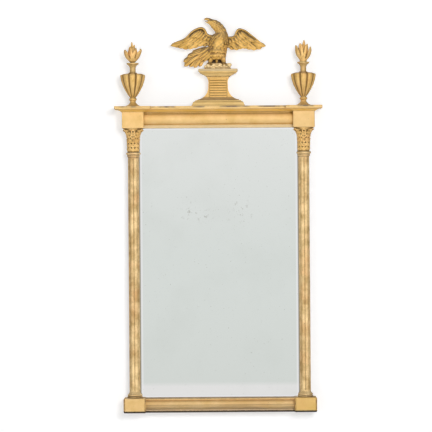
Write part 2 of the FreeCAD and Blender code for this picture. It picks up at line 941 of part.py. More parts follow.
def tongue(points, radii, flat_share):
    """A tapered tongue through the points given, wider than it is deep."""
    rings = []
    for index, point in enumerate(points):
        before = points[max(index - 1, 0)]
        after = points[min(index + 1, len(points) - 1)]
        turn = Rotation(Vector(0, 0, 1), after - before)
        rings.append(scaled_circle(point, (radii[index], radii[index] * flat_share), turn))
    return Part.makeLoft(rings, True)


def urn_flame(side):
    """Flame of tongues that lean out from a common root, with a spigot into the neck."""
    label = f"urn_flame_{SIDE_NAMES[side]}"
    height = size.urn_flame_height.number
    reach = size.urn_flame_width.number / 2
    spigot_radius = size.urn_flame_spigot_diameter.number / 2
    spigot_length = size.urn_flame_spigot_length.number
    # of each tongue: lean share, height share, thickness share
    inner_shares = (0.12, 1.0, 0.34)
    outer_shares = [
        (0.95, 0.72, 0.3),
        (0.8, 0.86, 0.28),
        (1.0, 0.62, 0.3),
        (0.75, 0.9, 0.28),
        (0.92, 0.68, 0.3),
        (0.85, 0.8, 0.28),
    ]
    # along each tongue: share of the lean, share of the height, share of the thickness
    way_shares = [(0.0, 0.0, 0.9), (0.55, 0.22, 1.25), (0.9, 0.55, 1.0), (0.8, 0.85, 0.55), (1.0, 1.0, 0.06)]
    flat_share = 0.8
    pitch = 2 * math.pi / len(outer_shares)
    tongues = [(0.0, inner_shares)]
    tongues += [((order + 0.5) * pitch, shares) for order, shares in enumerate(outer_shares)]
    shape = None
    for angle, (lean_share, rise_share, thickness_share) in tongues:
        out = Vector(math.cos(angle), math.sin(angle), 0) * (lean_share * reach)
        up = Vector(0, 0, rise_share * height)
        points = [out * across + up * along for across, along, girth in way_shares]
        radii = [girth * thickness_share * reach for across, along, girth in way_shares]
        piece = tongue(points, radii, flat_share)
        shape = piece if shape is None else shape.fuse(piece)
    shape = shape.cut(block_beyond(Vector(), Vector(0, 0, -1), 2 * reach))
    spigot = Part.makeCylinder(spigot_radius, spigot_length, Vector(0, 0, -spigot_length))
    flame = doc.addObject("Part::Feature", label)
    flame.Shape = shape.fuse(spigot).removeSplitter()
    neck_top = top_level + size.urn_foot_height + size.urn_bowl_height + size.urn_neck_height
    turn = Rotation(Vector(0, 0, 1), FLAME_TURNS[side])
    place(flame, side * column_x, -size.urn_setback, neck_top, turn)
    return keep(flame, label)


# Pedestal

def shaped_both_ways(label, front_corners, side_corners, width, depth):
    """Cut to one outline seen from the front and to another seen from the side."""
    body = new_body(label)
    pad(body, outline(new_sketch(body, "XZ_Plane"), front_corners), depth)
    pocket(body, outline(new_sketch(body, "YZ_Plane"), side_corners), width + size.overrun, centred=True)
    return body


def pedestal_plinth():
    half = size.plinth_width / 2
    slab, height, taper = size.plinth_slab_height, size.plinth_height, size.plinth_taper
    swell = ("out", size.plinth_taper_rise)
    front_corners = [
        (-half, 0),
        (half, 0),
        (half, slab, swell),
        (half - taper, height),
        (-half + taper, height, swell),
        (-half, slab),
    ]
    hollow = ("in", size.plinth_taper_rise)
    over = -size.plinth_depth - size.overrun
    side_corners = [
        (over, slab),
        (-size.plinth_depth, slab, hollow),
        (-size.plinth_depth + taper, height),
        (-size.plinth_depth + taper, height + size.overrun),
        (over, height + size.overrun),
    ]
    label = "pedestal_plinth"
    body = shaped_both_ways(label, front_corners, side_corners, size.plinth_width, size.plinth_depth)
    hole = new_sketch(body, "XY_Plane")
    circles(hole, [(0, -size.plinth_depth / 2)], size.pedestal_dowel_diameter / 2)
    pocket(body, hole, size.pedestal_dowel_length / 2, reverse=True)
    place(body, y=-size.pedestal_setback, z=top_level)
    return keep(body, label)


def arc_centre(start, end, rise):
    """Centre and radius of the arc from start to end that is hollowed to the right by the rise."""
    radius = arc_radius(start, end, rise)
    across, up = end[0] - start[0], end[1] - start[1]
    chord = (across * across + up * up).root()
    offset = radius - rise
    middle = ((start[0] + end[0]) / 2, (start[1] + end[1]) / 2)
    return (middle[0] - offset * up / chord, middle[1] + offset * across / chord), radius


def pedestal_die():
    """Waisted block, hollow on three sides, with horizontal reeds across its front."""
    height = size.die_height
    foot, waist, head = size.die_foot_width / 2, size.die_waist_width / 2, size.die_head_width / 2
    flare, crown = ("in", size.die_foot_rise), ("in", size.die_head_rise)
    front_corners = [
        (-foot, 0),
        (foot, 0),
        (foot, size.die_foot_edge, flare),
        (waist, size.die_waist_height, crown),
        (head, height),
        (-head, height, crown),
        (-waist, size.die_waist_height, flare),
        (-foot, size.die_foot_edge),
    ]
    bottom = (-size.die_foot_depth, size.die_foot_edge)
    top = (-size.die_head_depth, height)
    over = -size.die_foot_depth - size.overrun
    side_corners = [
        (over, size.die_foot_edge),
        (bottom[0], bottom[1], ("out", size.die_front_rise)),
        (top[0], top[1]),
        (top[0], height + size.overrun),
        (over, height + size.overrun),
    ]
    label = "pedestal_die"
    body = shaped_both_ways(label, front_corners, side_corners, size.die_foot_width, size.die_foot_depth)
    reeds = 8
    centre, radius = arc_centre(bottom, top, size.die_front_rise)

    def face_at(level):
        lift = level - centre[1]
        return centre[0] + (radius * radius - lift * lift).root()

    levels = [size.reeding_lift + size.reeding_height * (index / reeds) for index in range(reeds + 1)]
    ground = size.die_front_rise + size.reeding_ground
    corners = [(face_at(levels[0]) + ground, levels[0]), (face_at(levels[-1]) + ground, levels[-1])]
    corners += [(face_at(level), level, ("out", size.reeding_rise)) for level in reversed(levels[1:])]
    corners += [(face_at(levels[0]), levels[0])]
    pad(body, outline(new_sketch(body, "YZ_Plane"), corners), size.reeding_width, centred=True)
    place(body, y=-size.pedestal_setback, z=die_bottom)
    return keep(body, label)


def pedestal_cap():
    height, slab = size.cap_height, size.cap_slab_height
    neck = height - slab
    half, step, head = size.cap_width / 2, size.cap_step, size.die_head_width / 2
    hollow = ("in", size.cap_cove_rise)
    front_corners = [
        (-head, 0),
        (head, 0, hollow),
        (half - step, neck),
        (half, neck),
        (half, height),
        (-half, height),
        (-half, neck),
        (-half + step, neck, hollow),
    ]
    over = -size.cap_depth - size.overrun
    side_corners = [
        (over, -size.overrun),
        (-size.die_head_depth, -size.overrun),
        (-size.die_head_depth, 0, ("out", size.cap_cove_rise)),
        (-size.cap_depth + step, neck),
        (over, neck),
    ]
    label = "pedestal_cap"
    body = shaped_both_ways(label, front_corners, side_corners, size.cap_width, size.cap_depth)
    hole = new_sketch(body, "XY_Plane", height)
    circles(hole, [(0, -size.eagle_setback + size.pedestal_setback)], size.eagle_pin_diameter / 2)
    pocket(body, hole, neck)
    place(body, y=-size.pedestal_setback, z=cap_bottom)
    return keep(body, label)


def rod(label, diameter, length):
    item = doc.addObject("Part::Cylinder", label)
    item.setExpression("Radius", (diameter / 2).text)
    item.setExpression("Height", length.text)
    return item


def pedestal_dowel():
    dowel = rod("pedestal_dowel", size.pedestal_dowel_diameter, size.pedestal_dowel_length)
    place(dowel, y=pedestal_axis, z=top_level - size.pedestal_dowel_length / 2)
    return keep(dowel, "pedestal_dowel")


# Eagle, carved in pieces that meet on flat sawn seats; places are shares of its height, from the cap up

LEG_TOP_SHARE = 0.2
SEAT_BLOCK_SHARE = 0.4  # breadth of the cut that levels a seat
PIN_SHARE = 0.8  # of the mound that the pin goes up into
WING_SEAT_SHARES = {LEFT: 0.154, RIGHT: 0.171}
WING_DOWEL_SHARE = 0.55
# span share from seat to tip, top share, bottom share
WING_SHARES = {
    LEFT: [
        (0.0, 0.67, 0.44),
        (0.112, 0.77, 0.441),
        (0.187, 0.827, 0.457),
        (0.287, 0.821, 0.476),
        (0.388, 0.77, 0.451),
        (0.513, 0.691, 0.413),
        (0.638, 0.614, 0.396),
        (0.789, 0.543, 0.423),
        (0.914, 0.494, 0.445),
        (1.0, 0.467, 0.459),
    ],
    RIGHT: [
        (0.0, 0.642, 0.419),
        (0.149, 0.635, 0.379),
        (0.192, 0.66, 0.372),
        (0.235, 0.755, 0.371),
        (0.286, 0.789, 0.372),
        (0.354, 0.799, 0.382),
        (0.455, 0.76, 0.409),
        (0.556, 0.722, 0.406),
        (0.683, 0.652, 0.378),
        (0.809, 0.575, 0.374),
        (0.91, 0.512, 0.394),
        (1.0, 0.449, 0.437),
    ],
}
TAIL_SEAT_SHARES = (-0.207, 0.301)
TAIL_WAY_SHARES = (-0.79, -0.61)


def eagle_point(across_share, height_share):
    height = size.eagle_height.number
    return Vector(across_share * height, 0, height_share * height)


def eagle_body_solid():
    """One loft up the trunk, round the bend of the neck and along the head to the tip of the beak."""
    height = size.eagle_height.number
    half_depth = size.eagle_depth.number / 2
    # across share, height share, half width share, depth share, and the section's lean in degrees
    body_shares = [
        (-0.045, LEG_TOP_SHARE, 0.165, 0.78, 0),
        (-0.045, 0.287, 0.2, 0.95, 0),
        (-0.026, 0.386, 0.197, 1.0, 0),
        (0.0, 0.484, 0.183, 1.0, 0),
        (0.026, 0.583, 0.161, 0.92, 0),
        (0.053, 0.671, 0.134, 0.75, 5),
        (0.049, 0.75, 0.126, 0.62, 18),
        (0.01, 0.823, 0.104, 0.56, 45),
        (-0.065, 0.886, 0.091, 0.5, 70),
        (-0.132, 0.919, 0.067, 0.36, 72),
        (-0.183, 0.941, 0.045, 0.24, 72),
        (-0.222, 0.961, 0.027, 0.14, 72),
        (-0.254, 0.976, 0.008, 0.05, 72),
    ]
    rings = []
    for across, level, wide, deep, lean in body_shares:
        turn = Rotation(Vector(0, 1, 0), -lean)
        rings.append(scaled_circle(eagle_point(across, level), (wide * height, deep * half_depth), turn))
    return Part.makeLoft(rings, True)


def wing_solid(side, seat, reach, shares):
    """Lens-shaped sections from the seat on the body to the tip, bowed a little to the front."""
    height = size.eagle_height.number
    root_share, tip_share = 0.55, 0.15
    sections = []
    for span_share, top_share, bottom_share in shares:
        bow = size.eagle_wing_sweep.number * math.sin(math.pi * span_share) ** 2
        half = size.eagle_wing_thickness.number * (root_share + (tip_share - root_share) * span_share)
        x = side * (seat + span_share * (reach - seat))
        top = Vector(x, -bow, top_share * height)
        bottom = Vector(x, -bow, bottom_share * height)
        middle = (top + bottom) * 0.5
        swell = Vector(0, half, 0)
        face = Part.Arc(top, middle - swell, bottom).toShape()
        back = Part.Arc(bottom, middle + swell, top).toShape()
        sections.append(Part.Wire([face, back]))
    return Part.makeLoft(sections, True, True)


def tail_solid():
    """Fan of overlapping feathers that sweeps down to the viewer's left."""
    height = size.eagle_height.number
    thickness = size.eagle_tail_thickness.number
    # root across and height shares, then the same for the tip
    feather_shares = [
        (-0.19, 0.37, -0.675, 0.15),
        (-0.175, 0.345, -0.672, 0.06),
        (-0.16, 0.32, -0.565, 0.05),
        (-0.145, 0.3, -0.478, 0.036),
        (-0.155, 0.32, -0.405, 0.1),
    ]
    width_shares = [0.045, 0.062, 0.066, 0.03]
    layer_share, root_share, tip_share = 0.15, 0.42, 0.2
    fan = None
    for order, shares in enumerate(feather_shares):
        layer = Vector(0, thickness * layer_share * (1 if order % 2 else -1), 0)
        root = eagle_point(*shares[:2]) + layer
        along = eagle_point(*shares[2:]) + layer - root
        turn = Rotation(Vector(0, 1, 0), math.degrees(math.atan2(along.x, along.z)))
        rings = []
        for index, width in enumerate(width_shares):
            part = index / (len(width_shares) - 1)
            deep = thickness * (root_share + (tip_share - root_share) * part)
            rings.append(scaled_circle(root + along * part, (width * height, deep), turn))
        feather = Part.makeLoft(rings, True)
        fan = feather if fan is None else fan.fuse(feather)
    return fan


def leg_solids():
    """Two thick legs from the flat underside of the body to the flat top of the mound."""
    height = size.eagle_height.number
    half_depth = size.eagle_depth.number / 2
    foot_level = size.mound_height.number
    rise = LEG_TOP_SHARE * height - foot_level
    # rise share, across share, half width share, depth share
    left_shares = [
        (0.0, -0.15, 0.066, 0.6),
        (0.3, -0.146, 0.046, 0.38),
        (0.6, -0.142, 0.05, 0.42),
        (1.0, -0.13, 0.06, 0.5),
    ]
    right_shares = [
        (0.0, 0.115, 0.066, 0.6),
        (0.3, 0.1, 0.044, 0.38),
        (0.6, 0.085, 0.05, 0.42),
        (1.0, 0.055, 0.06, 0.5),
    ]
    legs = []
    for leg_shares in (left_shares, right_shares):
        rings = []
        for share, across, wide, deep in leg_shares:
            centre = Vector(across * height, 0, foot_level + share * rise)
            rings.append(scaled_circle(centre, (wide * height, deep * half_depth)))
        legs.append(Part.makeLoft(rings, True))
    return legs


def mound_solid():
    height = size.mound_height.number
    half_width, half_depth = size.mound_width.number / 2, size.mound_depth.number / 2
    # height share, width share
    mound_shares = [(0.0, 1.0), (0.35, 0.99), (0.75, 0.95), (1.0, 0.86)]
    rings = [
        scaled_circle(Vector(0, 0, level * height), (wide * half_width, wide * half_depth))
        for level, wide in mound_shares
    ]
    return Part.makeLoft(rings, True)


def eagle():
    height = size.eagle_height.number
    seat_breadth = SEAT_BLOCK_SHARE * height
    body = eagle_body_solid()
    mound = mound_solid()
    legs = leg_solids()
    wings, dowels = {}, {}
    for side, reach in ((LEFT, size.eagle_left_reach.number), (RIGHT, size.eagle_right_reach.number)):
        seat = WING_SEAT_SHARES[side] * height
        outward = Vector(side, 0, 0)
        middle = eagle_point(side * WING_SEAT_SHARES[side], WING_DOWEL_SHARE)
        dowel = Part.makeCylinder(
            size.wing_dowel_diameter.number / 2,
            size.wing_dowel_length.number,
            middle - Vector(size.wing_dowel_length.number / 2, 0, 0),
            Vector(1, 0, 0),
        )
        body = body.cut(block_beyond(middle, outward, seat_breadth)).cut(dowel)
        wings[side] = wing_solid(side, seat, reach, WING_SHARES[side]).cut(dowel)
        dowels[side] = dowel
    tail_seat = eagle_point(*TAIL_SEAT_SHARES)
    tail_way = eagle_point(*TAIL_WAY_SHARES)
    body = body.cut(block_beyond(tail_seat, tail_way, seat_breadth))
    tail = tail_solid().cut(block_beyond(tail_seat, -tail_way, seat_breadth))
    for neighbour in legs + [mound]:
        tail = tail.cut(neighbour)
    cap_part = (size.cap_height - size.cap_slab_height).number
    pin_length = cap_part + PIN_SHARE * size.mound_height.number
    pin = Part.makeCylinder(size.eagle_pin_diameter.number / 2, pin_length, Vector(0, 0, -cap_part))
    pieces = {
        "eagle_mound": mound.cut(pin),
        "eagle_body": body,
        "eagle_left_wing": wings[LEFT],
        "eagle_right_wing": wings[RIGHT],
        "eagle_tail": tail,
        "eagle_legs": Part.makeCompound(legs),
        "eagle_pin": pin,
        "eagle_wing_dowels": Part.makeCompound(list(dowels.values())),
    }
    for label, shape in pieces.items():
        piece = doc.addObject("Part::Feature", label)
        piece.Shape = shape
        place(piece, y=-size.eagle_setback, z=eagle_bottom)
        keep(piece, label)


# Hanging hardware

def hanger(side):
    """Forged eye driven into the top rail, and the ring that swings in it."""
    name = SIDE_NAMES[side]
    x = side * hanger_x
    y = board_back + size.eye_standoff
    disc = rod("eye_disc", size.eye_diameter, size.eye_thickness)
    place(disc, x - size.eye_thickness / 2, y, hanger_level, Rotation(Vector(0, 1, 0), 90))
    shank = rod("eye_shank", size.eye_shank_diameter, size.eye_shank_length + size.eye_standoff)
    place(shank, x, y, hanger_level, Rotation(Vector(1, 0, 0), 90))
    solid = doc.addObject("Part::MultiFuse", "eye_solid")
    solid.Shapes = [disc, shank]
    bore_reach = size.eye_shank_diameter / 2 + size.overrun
    bore = rod("eye_bore", size.eye_hole_diameter, 2 * bore_reach)
    place(bore, x - bore_reach, y, hanger_level, Rotation(Vector(0, 1, 0), 90))
    eye = doc.addObject("Part::Cut", f"hanger_eye_{name}_cut")
    eye.Base = solid
    eye.Tool = bore
    keep(eye, f"hanger_eye_{name}")
    ring = doc.addObject("Part::Torus", f"hanging_ring_{name}_torus")
    ring.setExpression("Radius1", (size.hanging_ring_diameter / 2).text)
    ring.setExpression("Radius2", (size.ring_wire_diameter / 2).text)
    place(ring, x, y, hanger_level - size.hanging_ring_diameter / 2, Rotation(Vector(1, 0, 0), 90))
    keep(ring, f"hanging_ring_{name}")


# Assembly

nails = backboard_nails()
bored_for(stile(LEFT), nails, "left_stile")
bored_for(stile(RIGHT), nails, "right_stile")
bored_for(bottom_rail(), nails, "bottom_rail")
bored_for(top_rail(), nails, "top_rail")
keep(mirror_plate(), "mirror_plate")
keep(glazing_blocks(), "glazing_blocks")
board_names = ("backboard_left", "backboard_middle", "backboard_right")
for index, label in enumerate(board_names):
    bored_for(backboard(index, len(board_names)), nails, label)
keep(nails, "backboard_nails")
frieze_moulding()
sill_moulding()
top_board()
cornice()
for side in (LEFT, RIGHT):
    corner_block(side, size.lower_block_height, as_length(0), f"lower_block_{SIDE_NAMES[side]}")
    corner_block(side, size.upper_block_height, sight_top, f"upper_block_{SIDE_NAMES[side]}")
    column_base(side)
    column_shaft(side)
    neck_ring(side)
    capital(side)
    urn_foot(side)
    urn_bowl(side)
    urn_neck(side)
    urn_flame(side)
    hanger(side)
pedestal_plinth()
pedestal_die()
pedestal_cap()
pedestal_dowel()
eagle()

doc.recompute()
failed = [item.Label for item in doc.Objects if {"Invalid", "Error"} & set(item.State)]
failed += [item.Label for item in nodes if item.Shape.isNull() or not item.Shape.isValid()]
failed += [item.Label for item in nodes if not item.Shape.Solids]
if failed:
    raise RuntimeError("not built: " + ", ".join(failed))

os.makedirs("parts", exist_ok=True)
for item in nodes:
    item.Shape.exportStep(f"parts/{item.Label}.step")
    box = item.Shape.BoundBox
    print(f"{item.Label}: {box.XLength:.1f} x {box.YLength:.1f} x {box.ZLength:.1f}")
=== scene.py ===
import json
import math
import random

import bmesh
import bpy
import numpy as np
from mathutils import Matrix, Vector

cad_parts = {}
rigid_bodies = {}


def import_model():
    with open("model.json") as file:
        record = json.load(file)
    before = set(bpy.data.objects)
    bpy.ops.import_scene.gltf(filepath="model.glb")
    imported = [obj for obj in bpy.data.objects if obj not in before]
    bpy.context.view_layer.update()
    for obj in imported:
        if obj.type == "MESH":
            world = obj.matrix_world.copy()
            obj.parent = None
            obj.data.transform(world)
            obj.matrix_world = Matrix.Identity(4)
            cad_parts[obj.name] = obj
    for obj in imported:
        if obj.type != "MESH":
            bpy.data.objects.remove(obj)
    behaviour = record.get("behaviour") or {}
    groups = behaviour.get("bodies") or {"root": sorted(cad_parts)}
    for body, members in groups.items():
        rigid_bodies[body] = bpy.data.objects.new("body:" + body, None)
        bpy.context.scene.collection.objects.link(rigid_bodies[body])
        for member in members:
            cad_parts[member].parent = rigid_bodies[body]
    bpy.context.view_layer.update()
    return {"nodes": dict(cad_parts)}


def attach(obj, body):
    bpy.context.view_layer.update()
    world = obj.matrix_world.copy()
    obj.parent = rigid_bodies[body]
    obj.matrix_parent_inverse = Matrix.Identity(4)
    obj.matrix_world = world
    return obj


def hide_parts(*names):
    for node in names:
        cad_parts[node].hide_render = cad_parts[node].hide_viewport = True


for leftover in list(bpy.data.objects):
    bpy.data.objects.remove(leftover)

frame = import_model()
nodes = frame["nodes"]
print("frame loaded", len(nodes))

# millimetres: columns and urns stand this far to either side, the urns this far toward the room
columnX = 299
urnY = -46
hands = {"left": -1, "right": 1}
toRoom = (0, -1, 0)


# curves and carved solids, all in millimetres until the mesh is made

def curvePoints(knots, count):
    # smooth curve through the knots, any number of columns
    pts = np.array(knots, float)
    spans = len(pts) - 1
    padded = np.vstack([2 * pts[0] - pts[1], pts, 2 * pts[-1] - pts[-2]])
    rows = []
    for place in np.linspace(0, spans, count):
        k = min(int(place), spans - 1)
        t = place - k
        a, b, c, d = padded[k:k + 4]
        rows.append(0.5 * (2 * b + (c - a) * t + (2 * a - 5 * b + 4 * c - d) * t * t
                           + (3 * b - a - 3 * c + d) * t ** 3))
    return np.array(rows)


def unit(v):
    v = np.array(v, float)
    return v / max(np.linalg.norm(v), 1e-9)


def roundAxis(angle):
    # outward and sideways directions at an angle from the room side
    t = math.radians(angle)
    return np.array((math.sin(t), -math.cos(t), 0)), np.array((math.cos(t), math.sin(t), 0))


def circle(count):
    return [2 * math.pi * k / count for k in range(count)]


def between(rows, place):
    # values at a place between two rows
    low = int(place)
    return rows[low] + (rows[low + 1] - rows[low]) * (place - low)


def stations(path, outs):
    # point, sideways and outward direction at each step of a path, outs is one direction or one a step
    path = np.array(path, float)
    outs = np.broadcast_to(outs, path.shape)
    last = len(path) - 1
    for i, p in enumerate(path):
        along = unit(path[min(i + 1, last)] - path[max(i - 1, 0)])
        side = unit(np.cross(along, outs[i]))
        yield p, side, np.cross(side, along)


def taper(count, shares, sizes):
    # sizes along a path, given at shares of its length
    return np.interp(np.linspace(0, 1, count), shares, sizes)


def addObject(name, data):
    made = bpy.data.objects.new(name, data)
    bpy.context.scene.collection.objects.link(made)
    return made


# widths and heights are shares of a feather's half width and thickness, the barbs' pitch is in millimetres
featherLook = {
    "front": (-1, -0.8, -0.6, -0.4, -0.2, -0.08, 0, 0.08, 0.2, 0.4, 0.6, 0.8, 1),
    "back": (0.9, 0.4, 0, -0.4, -0.9), "backDepth": 0.4,
    "root": 0.45, "widening": 1.6, "tip": 0.07, "edge": 0.3, "swell": 0.55,
    "quillWidth": 0.12, "quillHeight": 0.35, "barbPitch": 3.6, "barbSlant": 1.1,
}


class Carving:
    # a heap of closed shells that the remesher melts into one carved block
    def __init__(self):
        self.points = []
        self.faces = []

    def addRings(self, rings):
        count = len(rings[0])
        start = len(self.points)
        for ring in rings:
            self.points.extend(tuple(p) for p in ring)
        for r in range(len(rings) - 1):
            for i in range(count):
                j = (i + 1) % count
                a = start + r * count
                b = a + count
                self.faces.append((a + i, a + j, b + j, b + i))
        self.faces.append(tuple(start + i for i in reversed(range(count))))
        last = start + (len(rings) - 1) * count
        self.faces.append(tuple(last + i for i in range(count)))

    def addTube(self, path, radii, squash=1.0, facing=toRoom, count=14):
        # round stick along a path, squash flattens it along the facing direction
        rings = []
        for r, (p, side, out) in zip(radii, stations(path, facing)):
            rings.append([p + r * (side * math.cos(t) + out * squash * math.sin(t)) for t in circle(count)])
        self.addRings(rings)

    def addBall(self, centre, radius, stretch=(1, 1, 1), count=14):
        rings = []
        for i in range(count // 2 + 1):
            lat = -math.pi / 2 + math.pi * (i + 0.02) / (count // 2 + 0.04)
            rings.append([(centre[0] + radius * stretch[0] * math.cos(lat) * math.cos(t),
                           centre[1] + radius * stretch[1] * math.cos(lat) * math.sin(t),
                           centre[2] + radius * stretch[2] * math.sin(lat)) for t in circle(count)])
        self.addRings(rings)

    def addFeather(self, path, halfWidth, thick, outs, point=0.6, barbs=0.0, quill=0.5):
        # one feather: quill ridge down the middle, vanes falling to thin edges, round or pointed tip
        look = featherLook
        path = np.array(path, float)
        total = sum(np.linalg.norm(b - a) for a, b in zip(path, path[1:]))
        rings = []
        for i, (p, side, out) in enumerate(stations(path, outs)):
            s = i / (len(path) - 1)
            grow = min(1.0, look["root"] + look["widening"] * s)
            fall = 1.0 if s < point else math.sqrt(max(0.0, 1 - ((s - point) / (1 - point)) ** 2))
            wide = halfWidth * grow * max(fall, look["tip"])
            tall = thick * (0.75 + 0.25 * fall)
            ring = []
            for a in look["front"]:
                vane = look["edge"] + look["swell"] * math.sqrt(max(0.0, 1 - a * a))
                ridge = quill * math.exp(-(a / look["quillWidth"]) ** 2)
                barb = s * total / look["barbPitch"] - abs(a) * look["barbSlant"]
                ripple = barbs * math.sin(2 * math.pi * barb) * (1 - a * a)
                rise = tall * (vane + look["quillHeight"] * ridge) + ripple
                ring.append(p + side * a * wide + out * rise)
            for a in look["back"]:
                ring.append(p + side * a * wide - out * tall * look["backDepth"])
            rings.append(ring)
        self.addRings(rings)

    def addSheet(self, grid, thick):
        # closed slab over a grid of points, thick measured along Y
        rings = []
        for row in grid:
            front = [np.array(p) + (0, -thick / 2, 0) for p in row]
            back = [np.array(p) + (0, thick / 2, 0) for p in reversed(row)]
            rings.append(front + back)
        self.addRings(rings)

    def makeMesh(self, name, limit=math.inf):
        # limit keeps the carving in front of a wall
        pts = np.array(self.points)
        pts[:, 1] = np.minimum(pts[:, 1], limit)
        mesh = bpy.data.meshes.new(name)
        mesh.from_pydata([tuple(p) for p in pts / 1000], [], self.faces)
        mesh.update()
        return mesh

    def build(self, name, voxel, limit=math.inf):
        mesh = self.makeMesh(name + "_rough", limit)
        rough = addObject(name + "_rough", mesh)
        melt = rough.modifiers.new("melt", "REMESH")
        melt.mode = "VOXEL"
        melt.voxel_size = voxel / 1000
        soften = rough.modifiers.new("soften", "SMOOTH")
        soften.factor = 0.5
        soften.iterations = 1
        graph = bpy.context.evaluated_depsgraph_get()
        done = bpy.data.meshes.new_from_object(rough.evaluated_get(graph))
        bpy.data.objects.remove(rough)
        bpy.data.meshes.remove(mesh)
        done.name = name
        done.shade_smooth()
        return addObject(name, done)


def standFor(piece, node, material):
    # the carved piece shows in place of the node
    piece.data.materials.clear()
    piece.data.materials.append(material)
    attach(piece, "frame")
    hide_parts(node)


# materials, colours are (red, green, blue)

class Graph:
    # the nodes of one material or of the world
    def __init__(self, owner):
        owner.use_nodes = True
        self.owner = owner
        self.tree = owner.node_tree
        self.tree.nodes.clear()

    def add(self, kind, inputs=None, **settings):
        made = self.tree.nodes.new("ShaderNode" + kind)
        for key, value in settings.items():
            setattr(made, key, value)
        for key, value in (inputs or {}).items():
            socket = made.inputs[key]
            if hasattr(value, "is_output"):
                self.tree.links.new(value, socket)
            else:
                socket.default_value = (*value, 1.0) if socket.type == "RGBA" else value
        return made

    def where(self):
        return self.add("TexCoord").outputs["Object"]

    def noise(self, where, scale, detail=4, roughness=0.6, stretch=None):
        if stretch is not None:
            where = self.add("Mapping", {"Vector": where, "Scale": stretch}).outputs[0]
        inputs = {"Vector": where, "Scale": scale, "Detail": detail, "Roughness": roughness}
        return self.add("TexNoise", inputs).outputs[0]

    def ramp(self, value, low, high, toLow=0.0, toHigh=1.0):
        return self.add("MapRange", {"Value": value, 1: low, 2: high, 3: toLow, 4: toHigh}).outputs[0]

    def maths(self, operation, a, b=0.0):
        return self.add("Math", {0: a, 1: b}, operation=operation).outputs[0]

    def times(self, a, b):
        return self.maths("MULTIPLY", a, b)

    def axes(self, vector):
        return self.add("SeparateXYZ", {0: vector}).outputs

    def hollows(self, reach, start, full, strength=1.0, samples=8, inside=False):
        # mask of what is closed in, or of thin edges if looked at from inside
        near = self.add("AmbientOcclusion", {"Distance": reach}, samples=samples, inside=inside)
        return self.ramp(near.outputs["AO"], start, full, 0.0, strength)

    def blend(self, factor, a, b):
        return self.add("Mix", {0: factor, 6: a, 7: b}, data_type="RGBA").outputs[2]

    def seen(self):
        # rays straight from the camera, and all that it sees straight, mirrored or let through
        path = self.add("LightPath").outputs
        seen = self.maths("MAXIMUM", path["Is Camera Ray"], path["Is Glossy Ray"])
        return path["Is Camera Ray"], self.maths("MAXIMUM", seen, path["Is Transmission Ray"])

    def lay(self, mask, colour):
        # one more coat over the tone so far
        self.tone = self.blend(mask, self.tone, colour)

    def surface(self, inputs, height=None, strength=0.0, depth=0.0):
        inputs["Base Color"] = self.tone
        if height is not None:
            bump = self.add("Bump", {"Height": height, "Strength": strength, "Distance": depth})
            inputs["Normal"] = bump.outputs[0]
        self.add("OutputMaterial", {"Surface": self.add("BsdfPrincipled", inputs).outputs[0]})
        return self.owner


def newGraph(name):
    return Graph(bpy.data.materials.new(name))


